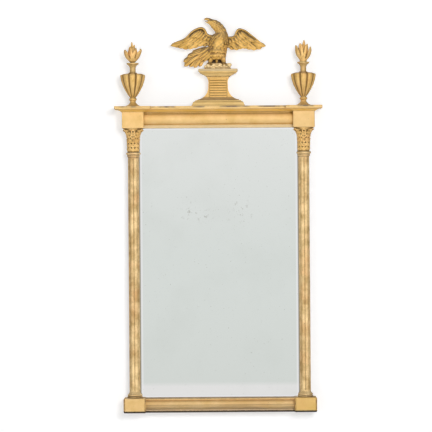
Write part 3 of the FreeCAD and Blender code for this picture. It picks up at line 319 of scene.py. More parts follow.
def giltMaterial(name, look):
    g = newGraph(name)
    where = g.where()
    x, y, z = g.axes(where)
    cloud = g.noise(where, look["cloudScale"], 5, 0.62)
    fine = g.noise(where, look["fineScale"], 5, 0.7)
    g.tone = look["pale"]
    g.lay(g.ramp(cloud, 0.36, 0.66), look["deep"])
    warm = g.noise(where, look["cloudScale"] * 0.6, 3, 0.5)
    g.lay(g.ramp(warm, 0.5, 0.75, 0, look["warmth"]), look["warm"])
    # corners rubbed through to the red clay
    rub = g.hollows(*look["rubbed"], samples=6, inside=True)
    rub = g.times(rub, g.ramp(g.noise(where, look["patchScale"], 6, 0.75), 0.42, 0.58))
    g.lay(g.times(rub, look["rub"]), look["clay"])
    # painted shade in the hollows, with dust and old glue size
    shade = g.hollows(*look["hollow"])
    shade = g.times(shade, g.ramp(fine, 0.25, 0.75, 0.7, 1.0))
    g.lay(g.times(shade, look["dirt"]), look["soil"])
    # dust and painted shade on whatever looks up
    facing = g.axes(g.add("NewGeometry").outputs["Normal"])[2]
    dusty = g.ramp(facing, *look["upward"], 0, look["dust"])
    g.lay(g.times(dusty, g.ramp(cloud, 0.3, 0.6, 0.65, 1)), look["dustTone"])
    if look["lobes"]:
        # painted shade in the grooves between the lobes, both urns at once with one mirrored onto the other
        aside = g.maths("SUBTRACT", g.maths("ABSOLUTE", x), columnX / 1000)
        turn = g.maths("ARCTAN2", aside, g.maths("SUBTRACT", urnY / 1000, y))
        wave = g.maths("COSINE", g.times(turn, look["lobes"]))
        groove = g.times(g.ramp(wave, -0.35, -0.95), g.ramp(fine, 0.3, 0.7, 0.65, 0.95))
        g.lay(groove, look["soil"])
    if look["backShade"]:
        # painted shade on whatever lies set back behind the front
        g.lay(g.ramp(y, *look["backShade"], 0, 0.9), look["grime"])
    # small losses
    lost = g.ramp(g.noise(where, look["chipScale"], 3, 0.5), 0.7, 0.74)
    g.lay(g.times(lost, look["chips"]), look["clay"])
    if look["lowWear"]:
        # darker toward the foot: painted shade of the lower half, streaked like gilding thinned to grey gesso
        # and wood
        streak = g.noise(where, look["streakScale"], 5, 0.7, look["streakStretch"])
        thin = g.ramp(z, look["lowWear"], look["lowWear"] * 0.35)
        g.lay(g.times(thin, g.ramp(streak, 0.3, 0.62, 0.25, 0.9)), look["bare"])
    blur = look["bandBlur"]
    for low, high, strength, tone in look["bands"]:
        up = g.maths("ADD", z, g.ramp(fine, 0.3, 0.7, -blur, blur))
        band = g.times(g.ramp(up, low - blur, low + blur), g.ramp(up, high + blur, high - blur))
        g.lay(g.times(band, g.ramp(cloud, 0.3, 0.6, strength * 0.7, strength)), tone)
    if look["highEdge"]:
        # darker along the top arris
        dusty = g.ramp(z, look["highEdge"] - blur / 2, look["highEdge"] + blur / 2, 0, 0.9)
        dusty = g.times(dusty, g.ramp(g.noise(where, 14, 3), 0.4, 0.55, 0.15, 1))
        g.lay(dusty, look["dustTone"])
    if look["lowEdge"]:
        # painted contact shadow: the bottom edge darkened to black
        up = g.maths("ADD", z, g.ramp(fine, 0.3, 0.7, -1.2 * blur, 1.2 * blur))
        g.lay(g.ramp(up, look["lowEdge"], look["lowEdge"] * 0.75), look["grime"])
    matt = g.ramp(fine, 0.3, 0.7, look["roughness"] - 0.07, look["roughness"] + 0.1)
    skin = g.maths("ADD", g.times(cloud, 0.6), g.times(fine, 0.25))
    return g.surface({"Metallic": look["metal"], "Roughness": matt}, skin, look["bump"], look["bumpDepth"])


gilt = {}
giltLooks = {}


def gild(name, base=None, **values):
    # a gilding like the base but for the values given
    giltLooks[name] = dict(giltLooks.get(base, {}), **values)
    gilt[name] = giltMaterial("gilt_" + name, giltLooks[name])


# heights and reaches in metres; rubbed and hollow are reach, start and full, upward is start and full,
# a band is (from height, to height, strength, colour) along a height, of wear, dust or painted shade
gild("plain", pale=(0.91, 0.62, 0.27), deep=(0.78, 0.5, 0.17), warm=(0.82, 0.5, 0.21),
     clay=(0.26, 0.12, 0.05), soil=(0.2, 0.095, 0.012), grime=(0.035, 0.022, 0.01),
     dustTone=(0.17, 0.12, 0.072), cloudScale=16, fineScale=260, warmth=0.45,
     rub=0.75, rubbed=(0.003, 0.62, 0.4), patchScale=90,
     dirt=0.85, hollow=(0.014, 0.8, 0.25),
     dust=0.3, upward=(0.5, 0.95), chips=0.4, chipScale=140,
     bands=(), bandBlur=0.001, lobes=0, backShade=(), highEdge=0.0, lowEdge=0.0,
     lowWear=0.0, streakScale=40, streakStretch=(0.15, 1, 1.6),
     metal=0.24, roughness=0.62, bump=0.25, bumpDepth=0.0012)
gild("right", "plain", pale=(0.8, 0.55, 0.24), deep=(0.69, 0.45, 0.155))
# cornice: painted shade in deep gold in its hollows and in its band over the cavetto under the nose
gild("cornice", "plain", pale=(0.87, 0.6, 0.25), deep=(0.76, 0.5, 0.18), soil=(0.58, 0.285, 0.01),
     dirt=0.9, highEdge=1.0672, bands=((1.0515, 1.0605, 0.6, (0.84, 0.475, 0.045)),))
# frieze: painted shade in golden tones in its hollows
gild("frieze", "plain", soil=(0.46, 0.24, 0.012), dust=0.12,
     bands=((0.996, 1.0075, 0.75, (0.62, 0.5, 0.3)),))
gild("low", "plain", pale=(0.86, 0.6, 0.28), deep=(0.74, 0.48, 0.17), warm=(0.8, 0.48, 0.2),
     lowEdge=0.0075)
gild("low_right", "low", pale=(0.75, 0.51, 0.17), deep=(0.65, 0.41, 0.1))
# sill: darker toward the foot as painted shade streaked like worn gilding, a painted contact shadow along the
# bottom edge, and bands of painted shadow under the top fillet, painted shade where the half-round turns
# down, and a paler bottom fillet
gild("sill", "low", lowEdge=0.0072, dirt=0.12, lowWear=0.036, bare=(0.29, 0.205, 0.112), chips=0.8,
     bands=((0.0478, 0.06, 0.85, (0.15, 0.11, 0.065)), (0.0245, 0.028, 0.45, (0.2, 0.11, 0.03)),
            (0.0068, 0.0112, 0.75, (0.8, 0.64, 0.42))))
# pedestal: its bands are a dark band over the die's flared foot, a pale worn arris on the cap, and painted
# shade in two dark lines under the cap
gild("pedestal", "plain", pale=(0.9, 0.65, 0.275), deep=(0.77, 0.52, 0.18), warm=(0.82, 0.53, 0.23),
     bands=((1.093, 1.1045, 0.75, (0.2, 0.125, 0.06)), (1.1955, 1.206, 0.7, (0.53, 0.415, 0.26)),
            (1.1852, 1.188, 0.4, (0.3, 0.19, 0.06)), (1.176, 1.1796, 0.95, (0.19, 0.1, 0.018))))
# die: painted shade in the grooves of its reeding
gild("die", "pedestal", pale=(0.9, 0.58, 0.2), deep=(0.76, 0.46, 0.13), soil=(0.26, 0.13, 0.012),
     dirt=0.9, hollow=(0.006, 0.98, 0.72))
gild("carved", "plain", pale=(0.86, 0.56, 0.21), deep=(0.68, 0.4, 0.11), warm=(0.8, 0.44, 0.19),
     soil=(0.13, 0.062, 0.012), cloudScale=34, warmth=0.5, rub=0.6, metal=0.36,
     dirt=0.95, hollow=(0.0075, 0.92, 0.42), dust=0.8, upward=(0.15, 0.75))
# column: its bands are painted shade in dark lines above and below the neck ring
gild("column", "carved", pale=(0.935, 0.7, 0.36), deep=(0.52, 0.33, 0.12), cloudScale=30, chips=0.7,
     hollow=(0.006, 0.97, 0.6), dust=0.3,
     bands=((0.8995, 0.9015, 0.55, (0.13, 0.075, 0.03)), (0.9112, 0.914, 0.65, (0.13, 0.075, 0.03))))
gild("leaves", "carved", pale=(0.91, 0.61, 0.24), deep=(0.76, 0.47, 0.14),
     dirt=0.85, hollow=(0.0075, 0.86, 0.38), dust=0.35)
gild("urn", "carved", pale=(0.9, 0.6, 0.22), deep=(0.74, 0.45, 0.12), soil=(0.17, 0.08, 0.012),
     hollow=(0.01, 0.92, 0.5), dust=0.2)
gild("bowl", "urn", lobes=10)
gild("neck", "urn", pale=(0.74, 0.52, 0.22), deep=(0.6, 0.4, 0.14))
gild("eagle", "carved", pale=(0.88, 0.555, 0.165), deep=(0.64, 0.365, 0.065), warm=(0.76, 0.43, 0.155),
     soil=(0.13, 0.066, 0.014), rub=0.85, hollow=(0.012, 0.97, 0.64),
     dust=0.85, upward=(0.06, 0.45))
# legs: painted shade on the slab set back behind them
gild("legs", "eagle", backShade=(-0.029, -0.023))
gild("mound", "eagle", pale=(0.98, 0.77, 0.42), deep=(0.93, 0.7, 0.35), warm=(0.92, 0.66, 0.34),
     soil=(0.24, 0.14, 0.05), dirt=0.62, hollow=(0.01, 0.84, 0.4), dust=0.0)

mirrorLook = {
    "silver": (0.665, 0.7, 0.675), "rim": (0.8, 0.8, 0.81), "fox": (0.22, 0.2, 0.15),
    "haze": (0.52, 0.55, 0.51), "shade": (0.24, 0.2, 0.135),
    # heights where a further tone starts and is full: top, lower half, foot; a painted reflection of the
    # room, with the old silvering's own greyer tone
    "zones": ((0.55, 1.0, (0.735, 0.755, 0.74)), (0.45, 0.12, (0.64, 0.672, 0.645)),
              (0.106, 0.09, (0.748, 0.745, 0.737))),
    # where the silver has gone in spots: middle of the patch and its size
    "patches": (((-0.1, -0.034, 0.706), 0.035), ((0.075, -0.034, 0.698), 0.045),
                ((-0.047, -0.034, 0.682), 0.03)),
    # from the middle of the plate outward
    "middleHeight": 0.5245, "rimAcross": (0.268, 0.27), "rimUp": (0.4655, 0.467),
    "shadeAcross": (0.2752, 0.2772),
}


def mirrorMaterial(look):
    g = newGraph("silvered_plate")
    where = g.where()
    x, y, z = g.axes(where)
    g.tone = look["silver"]
    for start, full, tone in look["zones"]:
        g.lay(g.ramp(z, start, full), tone)
    cloud = g.noise(where, 5, 4, 0.5)
    g.lay(g.ramp(cloud, 0.5, 0.8, 0, 0.25), look["haze"])
    spots = g.ramp(g.noise(where, 62, 5, 0.7), 0.57, 0.66)
    for centre, size in look["patches"]:
        away = g.add("VectorMath", {0: where, 1: centre}, operation="DISTANCE").outputs["Value"]
        mask = g.times(g.ramp(away, size * 1.3, size * 0.4), spots)
        g.lay(g.times(mask, 0.42), look["fox"])
    specks = g.ramp(g.noise(where, 210, 2, 0.4), 0.745, 0.77)
    g.lay(g.times(specks, 0.35), look["fox"])
    # painted reflection of the rebate, a thin pale band along the plate's edge, and painted shade in a dark
    # band beyond it
    sideways = g.maths("ABSOLUTE", x)
    updown = g.maths("ABSOLUTE", g.maths("SUBTRACT", z, look["middleHeight"]))
    band = g.maths("MAXIMUM", g.ramp(sideways, *look["rimAcross"]), g.ramp(updown, *look["rimUp"]))
    g.lay(g.times(band, 0.6), look["rim"])
    g.lay(g.ramp(sideways, *look["shadeAcross"], 0, 0.85), look["shade"])
    return g.surface({"Metallic": 1.0, "Roughness": g.ramp(cloud, 0.3, 0.7, 0.02, 0.06)})


carcaseLook = {
    "pale": (0.42, 0.27, 0.14), "dark": (0.25, 0.145, 0.07), "ring": (0.33, 0.19, 0.09),
    "soil": (0.06, 0.035, 0.018), "grainScale": 60, "ringScale": 14, "dirtReach": 0.02,
}
boardLook = dict(carcaseLook, pale=(0.33, 0.21, 0.11), dark=(0.18, 0.105, 0.05), ring=(0.25, 0.14, 0.065),
                 soil=(0.05, 0.03, 0.015))
upright = (1, 1, 0.07)
across = (0.07, 1, 1)


def woodMaterial(name, run, look):
    # run stretches the grain
    g = newGraph(name)
    where = g.where()
    grain = g.noise(where, look["grainScale"], 6, 0.65, run)
    rings = g.noise(where, look["ringScale"], 3, 0.5, run)
    g.tone = look["pale"]
    g.lay(g.ramp(grain, 0.35, 0.65), look["dark"])
    g.lay(g.ramp(rings, 0.45, 0.65, 0, 0.6), look["ring"])
    # darker where the wood closes in at corners and joints: painted shade, with dirt
    g.lay(g.hollows(look["dirtReach"], 0.85, 0.3, 0.7, 6), look["soil"])
    return g.surface({"Roughness": g.ramp(grain, 0.3, 0.7, 0.6, 0.8)}, grain, 0.3, 0.001)


ironLook = {"black": (0.05, 0.045, 0.042), "rust": (0.16, 0.065, 0.03), "scale": 400}


def ironMaterial(look):
    g = newGraph("forged_iron")
    rust = g.noise(g.where(), look["scale"], 6, 0.7)
    g.tone = look["black"]
    g.lay(g.ramp(rust, 0.4, 0.65), look["rust"])
    metal = g.ramp(rust, 0.4, 0.65, 0.8, 0.15)
    return g.surface({"Metallic": metal, "Roughness": g.ramp(rust, 0.4, 0.65, 0.45, 0.85)}, rust, 0.4, 0.0004)


finishes = dict(
    gilt, plate=mirrorMaterial(mirrorLook), iron=ironMaterial(ironLook),
    woodUp=woodMaterial("carcase_upright", upright, carcaseLook),
    woodAcross=woodMaterial("carcase_across", across, carcaseLook),
    boards=woodMaterial("backboard", upright, boardLook))

# start of the node's name and its finish, the first that fits counts
dressing = (
    ("lower_block_left", "low"), ("lower_block_right", "low_right"), ("upper_block_left", "plain"),
    ("upper_block_right", "right"), ("sill", "sill"), ("frieze", "frieze"), ("cornice", "cornice"),
    ("column", "column"), ("neck_ring", "column"), ("capital", "carved"),
    ("urn_bowl", "bowl"), ("urn_neck", "neck"), ("urn_foot", "urn"), ("urn_flame", "carved"),
    ("pedestal_die", "die"), ("pedestal_dowel", "woodUp"), ("pedestal", "pedestal"),
    ("eagle_wing_dowels", "woodUp"), ("eagle_pin", "iron"), ("eagle", "carved"),
    ("left_stile", "woodUp"), ("right_stile", "woodUp"), ("backboard_nails", "iron"), ("backboard", "boards"),
    ("mirror_plate", "plate"), ("hang", "iron"), ("", "woodAcross"),
)
for name in nodes:
    mesh = nodes[name].data
    mesh.materials.clear()
    mesh.materials.append(finishes[next(finish for start, finish in dressing if name.startswith(start))])
print("materials given")


# edges of the corner blocks, worn round

edgeLook = {
    # width, steps and whether overlaps are held back
    "blocks": {"lower_block_": (0.004, 4, False), "upper_block_": (0.001, 2, True)},
    "angle": 35, "join": 0.00002,
}
for side in hands:
    for block, (width, steps, clamp) in edgeLook["blocks"].items():
        # the faces come apart from each other, so they are joined first
        joined = nodes[block + side].modifiers.new("joined", "WELD")
        joined.merge_threshold = edgeLook["join"]
        worn = nodes[block + side].modifiers.new("worn_edges", "BEVEL")
        worn.width = width
        worn.segments = steps
        worn.limit_method = "ANGLE"
        worn.angle_limit = math.radians(edgeLook["angle"])
        worn.use_clamp_overlap = clamp
print("edges worn")


# eagle: X and height above the pedestal cap in millimetres, depth around its middle plane

eagleLook = {"base": 1209.0, "middle": -33.0, "voxel": 0.85}


def eaglePoint(x, up, depth=0.0):
    # depth is measured toward the room
    return np.array((x, eagleLook["middle"] - depth, eagleLook["base"] + up))


def bentPoint(root, tip, sag, share):
    # point on the way from root to tip, sagging sideways from the straight line
    root, tip = np.array(root, float), np.array(tip, float)
    across = np.array((-(tip - root)[1], (tip - root)[0]))
    return root + (tip - root) * share + across * sag * math.sin(math.pi * share)


def spread(look, count):
    # roots and tips of feathers spread evenly over a fan
    return zip(curvePoints(look["roots"], count), curvePoints(look["tips"], count))


bodyLook = {
    # x, height, half width, half depth from the belly to the brow
    "knots": ((-3, 29, 25, 15), (-3, 40, 29, 19.5), (-2, 56, 31, 23), (1, 76, 31.5, 24), (6, 95, 29.5, 23),
              (11, 111, 24, 20), (11, 124, 19.5, 16.5), (5, 137, 17.5, 14.5), (-5, 147.5, 16.5, 13),
              (-15, 155, 14, 11.5), (-25, 160.5, 10.5, 9), (-33, 164, 6, 6)),
    # places along the body are counted in knots
    "scaleRows": 10, "scaleFrom": 1.1, "scaleSpan": 4.3, "scaleRound": 13,
    "scaleLength": 16.0, "scaleWidth": 6.4, "scaleThick": 1.9, "scaleRise": 3.2,
    "hackleRows": 6, "hackleFrom": 5.4, "hackleSpan": 3.9, "hackleRound": 15,
    "hackleLength": 15.0, "hackleWidth": 3.4, "hackleThick": 1.7, "hackleRise": 2.0,
    # x, height, half width and half height of the rubbed breast, where the scales lie flat
    "breast": (3, 104, 16, 23), "breastRise": 0.7,
    # angle, place and rise of the pointed shoulder feathers
    "mantle": ((20, 5.9, 8), (38, 5.8, 9), (56, 5.9, 8), (29, 5.0, 8), (47, 4.9, 8),
               (124, 5.6, 5.5), (142, 5.5, 6), (160, 5.3, 6), (133, 4.7, 5), (151, 4.5, 5)),
    "mantleLength": 25, "mantleWidth": 4.4,
    # number, place, first angle, angle between, length and rise of the belly feathers
    "belly": ((8, 2.45, 28, 17.5, 17, 6.0), (7, 1.55, 24, 21, 14, 5.0)), "bellyWidth": 6.6,
    "upperBeak": ((-22, 163.5), (-31, 168.5), (-39.5, 170.8), (-44.2, 169.6), (-45.4, 165.6)),
    "lowerBeak": ((-22, 155), (-31, 157.5), (-38.5, 160), (-44, 162.6)),
    # x, height, depth on either side of the head
    "brow": ((-7, 161, 11), (-14, 163.2, 10.6), (-21, 162.8, 8.4), (-26, 162.4, 6.0)),
    "cheek": ((-29, 159.5, 5.6), (-20, 154.5, 9.4), (-11, 150.5, 12)),
    "eye": ((-15.5, 158.6, 10.4),), "eyeSize": 2.4,
}
stepsPerKnot = 10
bodyEnd = (len(bodyLook["knots"]) - 1) * stepsPerKnot
bodyCurve = curvePoints(bodyLook["knots"], bodyEnd + 1)


def bodySurface(place, angle, lift=0.0):
    # place in knots, angle 0 at the right, 90 toward the room
    step = min(max(place * stepsPerKnot, 0), bodyEnd - 0.001)
    k = int(step)
    x, up, wide, deep = between(bodyCurve, step)
    ahead = bodyCurve[min(k + 3, bodyEnd)] - bodyCurve[max(k - 3, 0)]
    length = math.hypot(ahead[0], ahead[1])
    side = (ahead[1] / length, -ahead[0] / length)
    c, s = math.cos(math.radians(angle)), math.sin(math.radians(angle))
    point = eaglePoint(x + side[0] * wide * c, up + side[1] * wide * c, deep * s)
    out = unit(np.array((side[0] * c / wide, -s / deep, side[1] * c / wide)))
    return point + out * lift, out


def buildBody():
    shape = Carving()
    look = bodyLook
    rings = []
    for k in range(0, bodyEnd + 1, 2):
        rings.append([bodySurface(k / stepsPerKnot, 360 * i / 40)[0] for i in range(40)])
    shape.addRings(rings)

    def layFeather(start, angle, length, halfWidth, thick, point, lift):
        # steps down the body from its root, rising off the skin toward the tip
        path, outs = [], []
        place = start
        for i in range(8):
            p, out = bodySurface(place, angle, -1.4 + lift * (i / 7))
            path.append(p)
            outs.append(out)
            k = int(min(max(place * stepsPerKnot, 0), bodyEnd - 1))
            step = bodyCurve[k + 1] - bodyCurve[k]
            perKnot = stepsPerKnot * math.hypot(step[0], step[1])
            place -= length / 7 / max(perKnot, 1)
        shape.addFeather(path, halfWidth, thick, outs, point)

    def feathersOf(kind, jitter):
        # row, place and angle of each feather, every other row half a step on
        rows, number = look[kind + "Rows"], look[kind + "Round"]
        for row in range(rows):
            start = look[kind + "From"] + look[kind + "Span"] * row / (rows - 1)
            for i in range(number):
                yield row, start, 360 * (i + 0.5 * (row % 2)) / number + random.uniform(-jitter, jitter)

    random.seed(11)
    breastX, breastUp, breastWide, breastTall = look["breast"]
    for row, start, angle in feathersOf("scale", 2):
        wide = look["scaleWidth"] * (1.1 if row < 4 else 0.9)
        p = bodySurface(start, angle)[0]
        aside = (p[0] - breastX) / breastWide
        above = (p[2] - eagleLook["base"] - breastUp) / breastTall
        flat = aside ** 2 + above ** 2 < 1 and p[1] < eagleLook["middle"]
        thick = look["scaleThick"] * (0.7 if flat else 1)
        rise = look["breastRise"] if flat else look["scaleRise"]
        layFeather(start, angle, look["scaleLength"], wide, thick, 0.45, rise)
    for row, start, angle in feathersOf("hackle", 3):
        length = look["hackleLength"] * (1.1 - 0.09 * row)
        wide = look["hackleWidth"] * (1.15 - 0.08 * row)
        layFeather(start, angle, length, wide, look["hackleThick"], 0.15, look["hackleRise"])
    for angle, start, rise in look["mantle"]:
        layFeather(start, angle, look["mantleLength"], look["mantleWidth"], 3.4, 0.3, rise)
    for count, start, first, apart, length, rise in look["belly"]:
        for i in range(count):
            place = start + 0.12 * (i % 2)
            layFeather(place, first + apart * i, length, look["bellyWidth"], 3.4, 0.5, rise)
    # upper and lower beak, open
    upper = curvePoints([eaglePoint(*p) for p in look["upperBeak"]], 17)
    shape.addTube(upper, taper(17, (0, 0.35, 0.7, 1), (7.6, 5.4, 3.4, 0.7)), 0.75)
    lower = curvePoints([eaglePoint(*p) for p in look["lowerBeak"]], 13)
    shape.addTube(lower, taper(13, (0, 0.5, 1), (5.6, 3.4, 0.8)), 0.8)
    for front in (1, -1):
        brow, cheek, eye = [[eaglePoint(x, up, front * depth) for x, up, depth in look[part]]
                            for part in ("brow", "cheek", "eye")]
        shape.addTube(curvePoints(brow, 9), taper(9, (0, 0.4, 1), (1.2, 2.2, 1.0)))
        shape.addBall(eye[0], look["eyeSize"])
        shape.addTube(curvePoints(cheek, 9), taper(9, (0, 0.5, 1), (0.9, 1.4, 0.8)))
    return shape.build("carved_eagle_body", eagleLook["voxel"])


wingLook = {
    # the bow toward the room between the shoulder and the tip
    "bow": 13.0, "bowFrom": 28, "bowSpan": 139, "slab": 5.0, "web": 6.0, "quill": 10.0,
    # reach, layer and half width of the two shorter rows
    "rows": ((0.62, 7.0, 6.2), (0.36, 10.5, 5.4)),
    "left": {
        "roots": ((-17, 104), (-32, 107), (-45, 119), (-54, 128), (-66, 129)),
        "tips": ((-35, 76), (-52, 76), (-70, 77), (-88, 70), (-105, 66), (-122, 65.5), (-138, 69.5),
                 (-153, 74), (-166, 78)),
        "arm": ((-8, 106), (-20, 109.5), (-32, 111.5), (-40, 117), (-46, 130), (-54, 137), (-68, 136),
                (-88, 126), (-106, 108.5), (-126, 91), (-148, 81))},
    "right": {
        "roots": ((29, 97), (45, 99), (59, 107), (69, 120), (82, 124)),
        "tips": ((39, 69), (54, 62), (71, 61), (87, 65.5), (103, 67), (119, 63.5), (136, 61),
                 (153, 64.5), (168.5, 74)),
        "arm": ((25, 102), (40, 103.5), (53, 104), (61.5, 110), (66, 121), (71, 129.5), (79, 132),
                (95, 127.5), (113, 115), (137, 96.5), (157, 80.5))},
}


def wingPoint(p, layer=0.0):
    share = min(max((abs(p[0]) - wingLook["bowFrom"]) / wingLook["bowSpan"], 0), 1)
    return eaglePoint(p[0], p[1], wingLook["bow"] * math.sin(math.pi * share) ** 2 + layer)


def wingPath(root, tip, sag, layer, count=15, stop=1.0):
    return [wingPoint(bentPoint(root, tip, sag, stop * i / (count - 1)), layer) for i in range(count)]


def buildWing(side):
    shape = Carving()
    look = wingLook[side]
    number = len(look["tips"])
    roots = curvePoints(look["roots"], number)
    fold = -hands[side]
    quill = wingLook["quill"]
    # slab that the feathers are carved from
    grid = []
    for r, t in spread(look, 24):
        grid.append([wingPoint(r + (t - r) * s) for s in np.linspace(0.0, 0.965, 14)])
    shape.addSheet(grid, wingLook["slab"])
    web = []
    for a, r in zip(curvePoints(look["arm"], 24), curvePoints(look["roots"], 24)):
        web.append([wingPoint(p, 1) for p in (a, a * 0.66 + r * 0.34, a * 0.33 + r * 0.67, r)])
    shape.addSheet(web, wingLook["web"])
    # long flight feathers, then two shorter rows over them
    for i in range(number):
        sag = (0.02 + 0.07 * i / number) * fold
        raised = 4.6 * (1 - 0.4 * i / number) * (i % 2 == 0)
        wide = quill * (0.78 + 0.2 * math.sin(math.pi * i / number))
        path = wingPath(roots[i], look["tips"][i], sag, 1.4 + raised)
        shape.addFeather(path, wide, 3.4, toRoom, 0.78, 0.28, 1.0)
        path = wingPath(roots[i], look["tips"][i], sag, -1.2)
        shape.addFeather(path, quill * 0.95, 2.6, (0, 1, 0), 0.72, 0.2)
    for row, (reach, layer, wide) in enumerate(wingLook["rows"]):
        count = number - 1 - row
        for i, (root, tip) in enumerate(spread(look, count)):
            path = wingPath(root, tip, (0.02 + 0.07 * i / count) * fold, layer, 11, reach)
            shape.addFeather(path, wide, 3.4, toRoom, 0.6, 0.2, 0.9)
    # rolled leading edge
    arm = [wingPoint(p, 6.0) for p in curvePoints(look["arm"], 33)]
    shape.addTube(arm, taper(33, (0, 0.2, 0.5, 1), (4.5, 5.2, 4.6, 1.6)), 1.15)
    return shape.build("carved_eagle_" + side + "_wing", eagleLook["voxel"])


tailLook = {
    "roots": ((-14, 45), (-16, 48), (-18, 51), (-20, 55), (-23, 60), (-25, 65), (-27, 69)),
    "tips": ((-66, 4), (-84, 0), (-100, 3), (-118, 5), (-121, 20), (-107, 38), (-90, 52)),
    "bend": (0.17, 0.14, 0.11, 0.09, 0.07, 0.05, 0.04),
    "layers": (0, 4.6, 1.2, 5.4, 0.8, 4.2, 1.0), "wide": 8.4, "slab": 4.4, "coverts": 6,
    # x, height, depth along each flank feather
    "flank": (((-12, 76, 20), (-31, 69, 10), (-52, 57, 7.5), (-74, 46, 6.5)),
              ((-8, 67, 21), (-29, 60, 14), (-50, 45, 9), (-68, 32, 7)),
              ((-6, 58, 21.5), (-27, 51, 16), (-45, 37, 10), (-60, 22, 7)),
              ((-5, 49, 21), (-24, 43, 17), (-38, 33, 11), (-49, 20, 7))),
}


def buildTail():
    shape = Carving()
    look = tailLook
    grid = []
    for r, t in spread(look, 20):
        bend = 0.14 - 0.1 * len(grid) / 20
        grid.append([eaglePoint(*bentPoint(r, t, -bend, s)) for s in np.linspace(0, 0.9, 12)])
    shape.addSheet(grid, look["slab"])
    for i, (root, tip) in enumerate(zip(look["roots"], look["tips"])):
        for front in (1, -1):
            depth = front * (1.4 + look["layers"][i] * 0.7)
            path = [eaglePoint(*bentPoint(root, tip, -look["bend"][i], k / 15), depth) for k in range(16)]
            shape.addFeather(path, look["wide"], 3.6, (0, -front, 0.12 * i), 0.9, 0.35, 1.1)
    # short coverts over the root of the fan
    for root, tip in spread(look, look["coverts"]):
        path = [eaglePoint(*(root + (tip - root) * s * 0.5), 5.2) for s in np.linspace(0, 1, 10)]
        shape.addFeather(path, 6.0, 3.0, toRoom, 0.5, 0.2)
    # coverts that run from the flank of the body down over the fan
    for knots in look["flank"]:
        path = [eaglePoint(*p) for p in curvePoints(knots, 15)]
        shape.addFeather(path, 5.6, 3.2, (-0.35, -1, 0), 0.6, 0.3, 1.0)
    return shape.build("carved_eagle_tail", eagleLook["voxel"])


legLook = {
    # x, height, radius down each leg
    "legs": (((-18, 44, 11), (-23, 33, 9), (-27, 21, 6.2), (-28, 11, 5)),
             ((13, 44, 11), (17, 33, 9), (20.5, 21, 6.2), (22, 11, 5))),
    "forward": 5.0, "rows": 4, "round": 9,
    # turn and reach of each toe
    "toes": ((-50, 16), (-10, 18), (32, 16), (178, 10)),
    # x, lowest height and half width of the tufts between the legs
    "tufts": ((-3, 13, 5.0), (-13, 27, 4.5), (9, 29, 4.5)), "voxel": 0.75,
}


def buildLegs():
    shape = Carving()
    look = legLook
    for knots in look["legs"]:
        curve = curvePoints(knots, 17)
        thigh = np.array([eaglePoint(x, up, look["forward"]) for x, up, r in curve])
        shape.addTube(thigh, curve[:, 2], 0.95)
        for row in range(look["rows"]):
            for i in range(look["round"]):
                angle = math.radians(360 * (i + 0.5 * (row % 2)) / look["round"])
                out = np.array((math.cos(angle), -math.sin(angle), 0))
                path = []
                for s in np.linspace(0, 1, 7):
                    k = min(2 + 3 * row + 4.5 * s, 15.5)
                    r = np.interp(k, range(17), curve[:, 2]) - 1.2 + 1.8 * s
                    path.append(between(thigh, k) + out * r)
                shape.addFeather(path, 4.4 - 0.7 * row, 1.8, out, 0.2)
        foot = thigh[-1] + (0, 0, 1)
        for turn, reach in look["toes"]:
            out = roundAxis(turn)[0]
            toe = curvePoints([foot, foot + out * reach * 0.35 + (0, 0, 1.5), foot + out * reach * 0.75,
                               foot + out * reach + (0, 0, -5)], 11)
            shape.addTube(toe, taper(11, (0, 0.3, 0.55, 0.75, 1), (3.8, 3.4, 3.6, 2.6, 0.7)))
    # slab behind the legs, and the tufts that hang between them
    slab = [[eaglePoint(x, up, -14) for x in np.linspace(-27, 18, 8)] for up in np.linspace(46, 6, 8)]
    shape.addSheet(slab, 5.0)
    for x, low, wide in look["tufts"]:
        knots = [eaglePoint(x, 44, 10), eaglePoint(x - 0.5, 32, 9), eaglePoint(x - 1.5, low, 5)]
        shape.addFeather(curvePoints(knots, 11), wide, 3.0, toRoom, 0.45, 0.2, 0.9)
    return shape.build("carved_eagle_legs", look["voxel"])


moundLook = {
    "x": -2, "halfWidth": 47, "halfDepth": 20, "round": 56, "voxel": 0.9,
    # height and share of the full size, from the bottom up
    "rings": ((-5.3, 0.96), (-1, 0.97), (3, 0.9), (7.5, 0.78), (12, 0.64), (15.6, 0.42)),
    # x, height, depth and size
    "rocks": ((39, 9, 8, 8.5), (-42, 5, 10, 5), (-34, 8, 14, 6), (8, 9, 17, 6), (22, 7, 16, 5),
              (-14, 8, 17, 6)),
    "stones": 10, "firstStone": -45, "stoneStep": 9.6,
}


def buildMound():
    shape = Carving()
    look = moundLook
    random.seed(5)
    rings = []
    for up, grow in look["rings"]:
        ring = []
        for t in circle(look["round"]):
            rough = 1 + 0.05 * math.sin(3 * t + 1) + 0.035 * math.sin(7 * t + up)
            x = look["x"] + look["halfWidth"] * grow * rough * math.cos(t)
            ring.append(eaglePoint(x, up, look["halfDepth"] * grow * rough * math.sin(t)))
        rings.append(ring)
    shape.addRings(rings)
    for x, up, depth, size in look["rocks"]:
        shape.addBall(eaglePoint(x, up, depth), size, (1.2, 0.8, 0.8))
    for i in range(look["stones"]):
        x = look["firstStone"] + look["stoneStep"] * i + random.uniform(-1.5, 1.5)
        place = eaglePoint(x, 1.5 + 3 * (i % 2), 19 - 0.004 * x * x)
        shape.addBall(place, random.uniform(4.6, 5.6), (1.0, 0.8, 0.8))
    return shape.build("carved_eagle_mound", look["voxel"])


for part, piece, finish in (
        ("body", buildBody(), "eagle"), ("tail", buildTail(), "eagle"), ("legs", buildLegs(), "legs"),
        ("mound", buildMound(), "mound"), ("left_wing", buildWing("left"), "eagle"),
        ("right_wing", buildWing("right"), "eagle")):
    standFor(piece, "eagle_" + part, gilt[finish])
print("eagle carved")


# run mouldings of the pedestal: half width, front, height from the bottom up

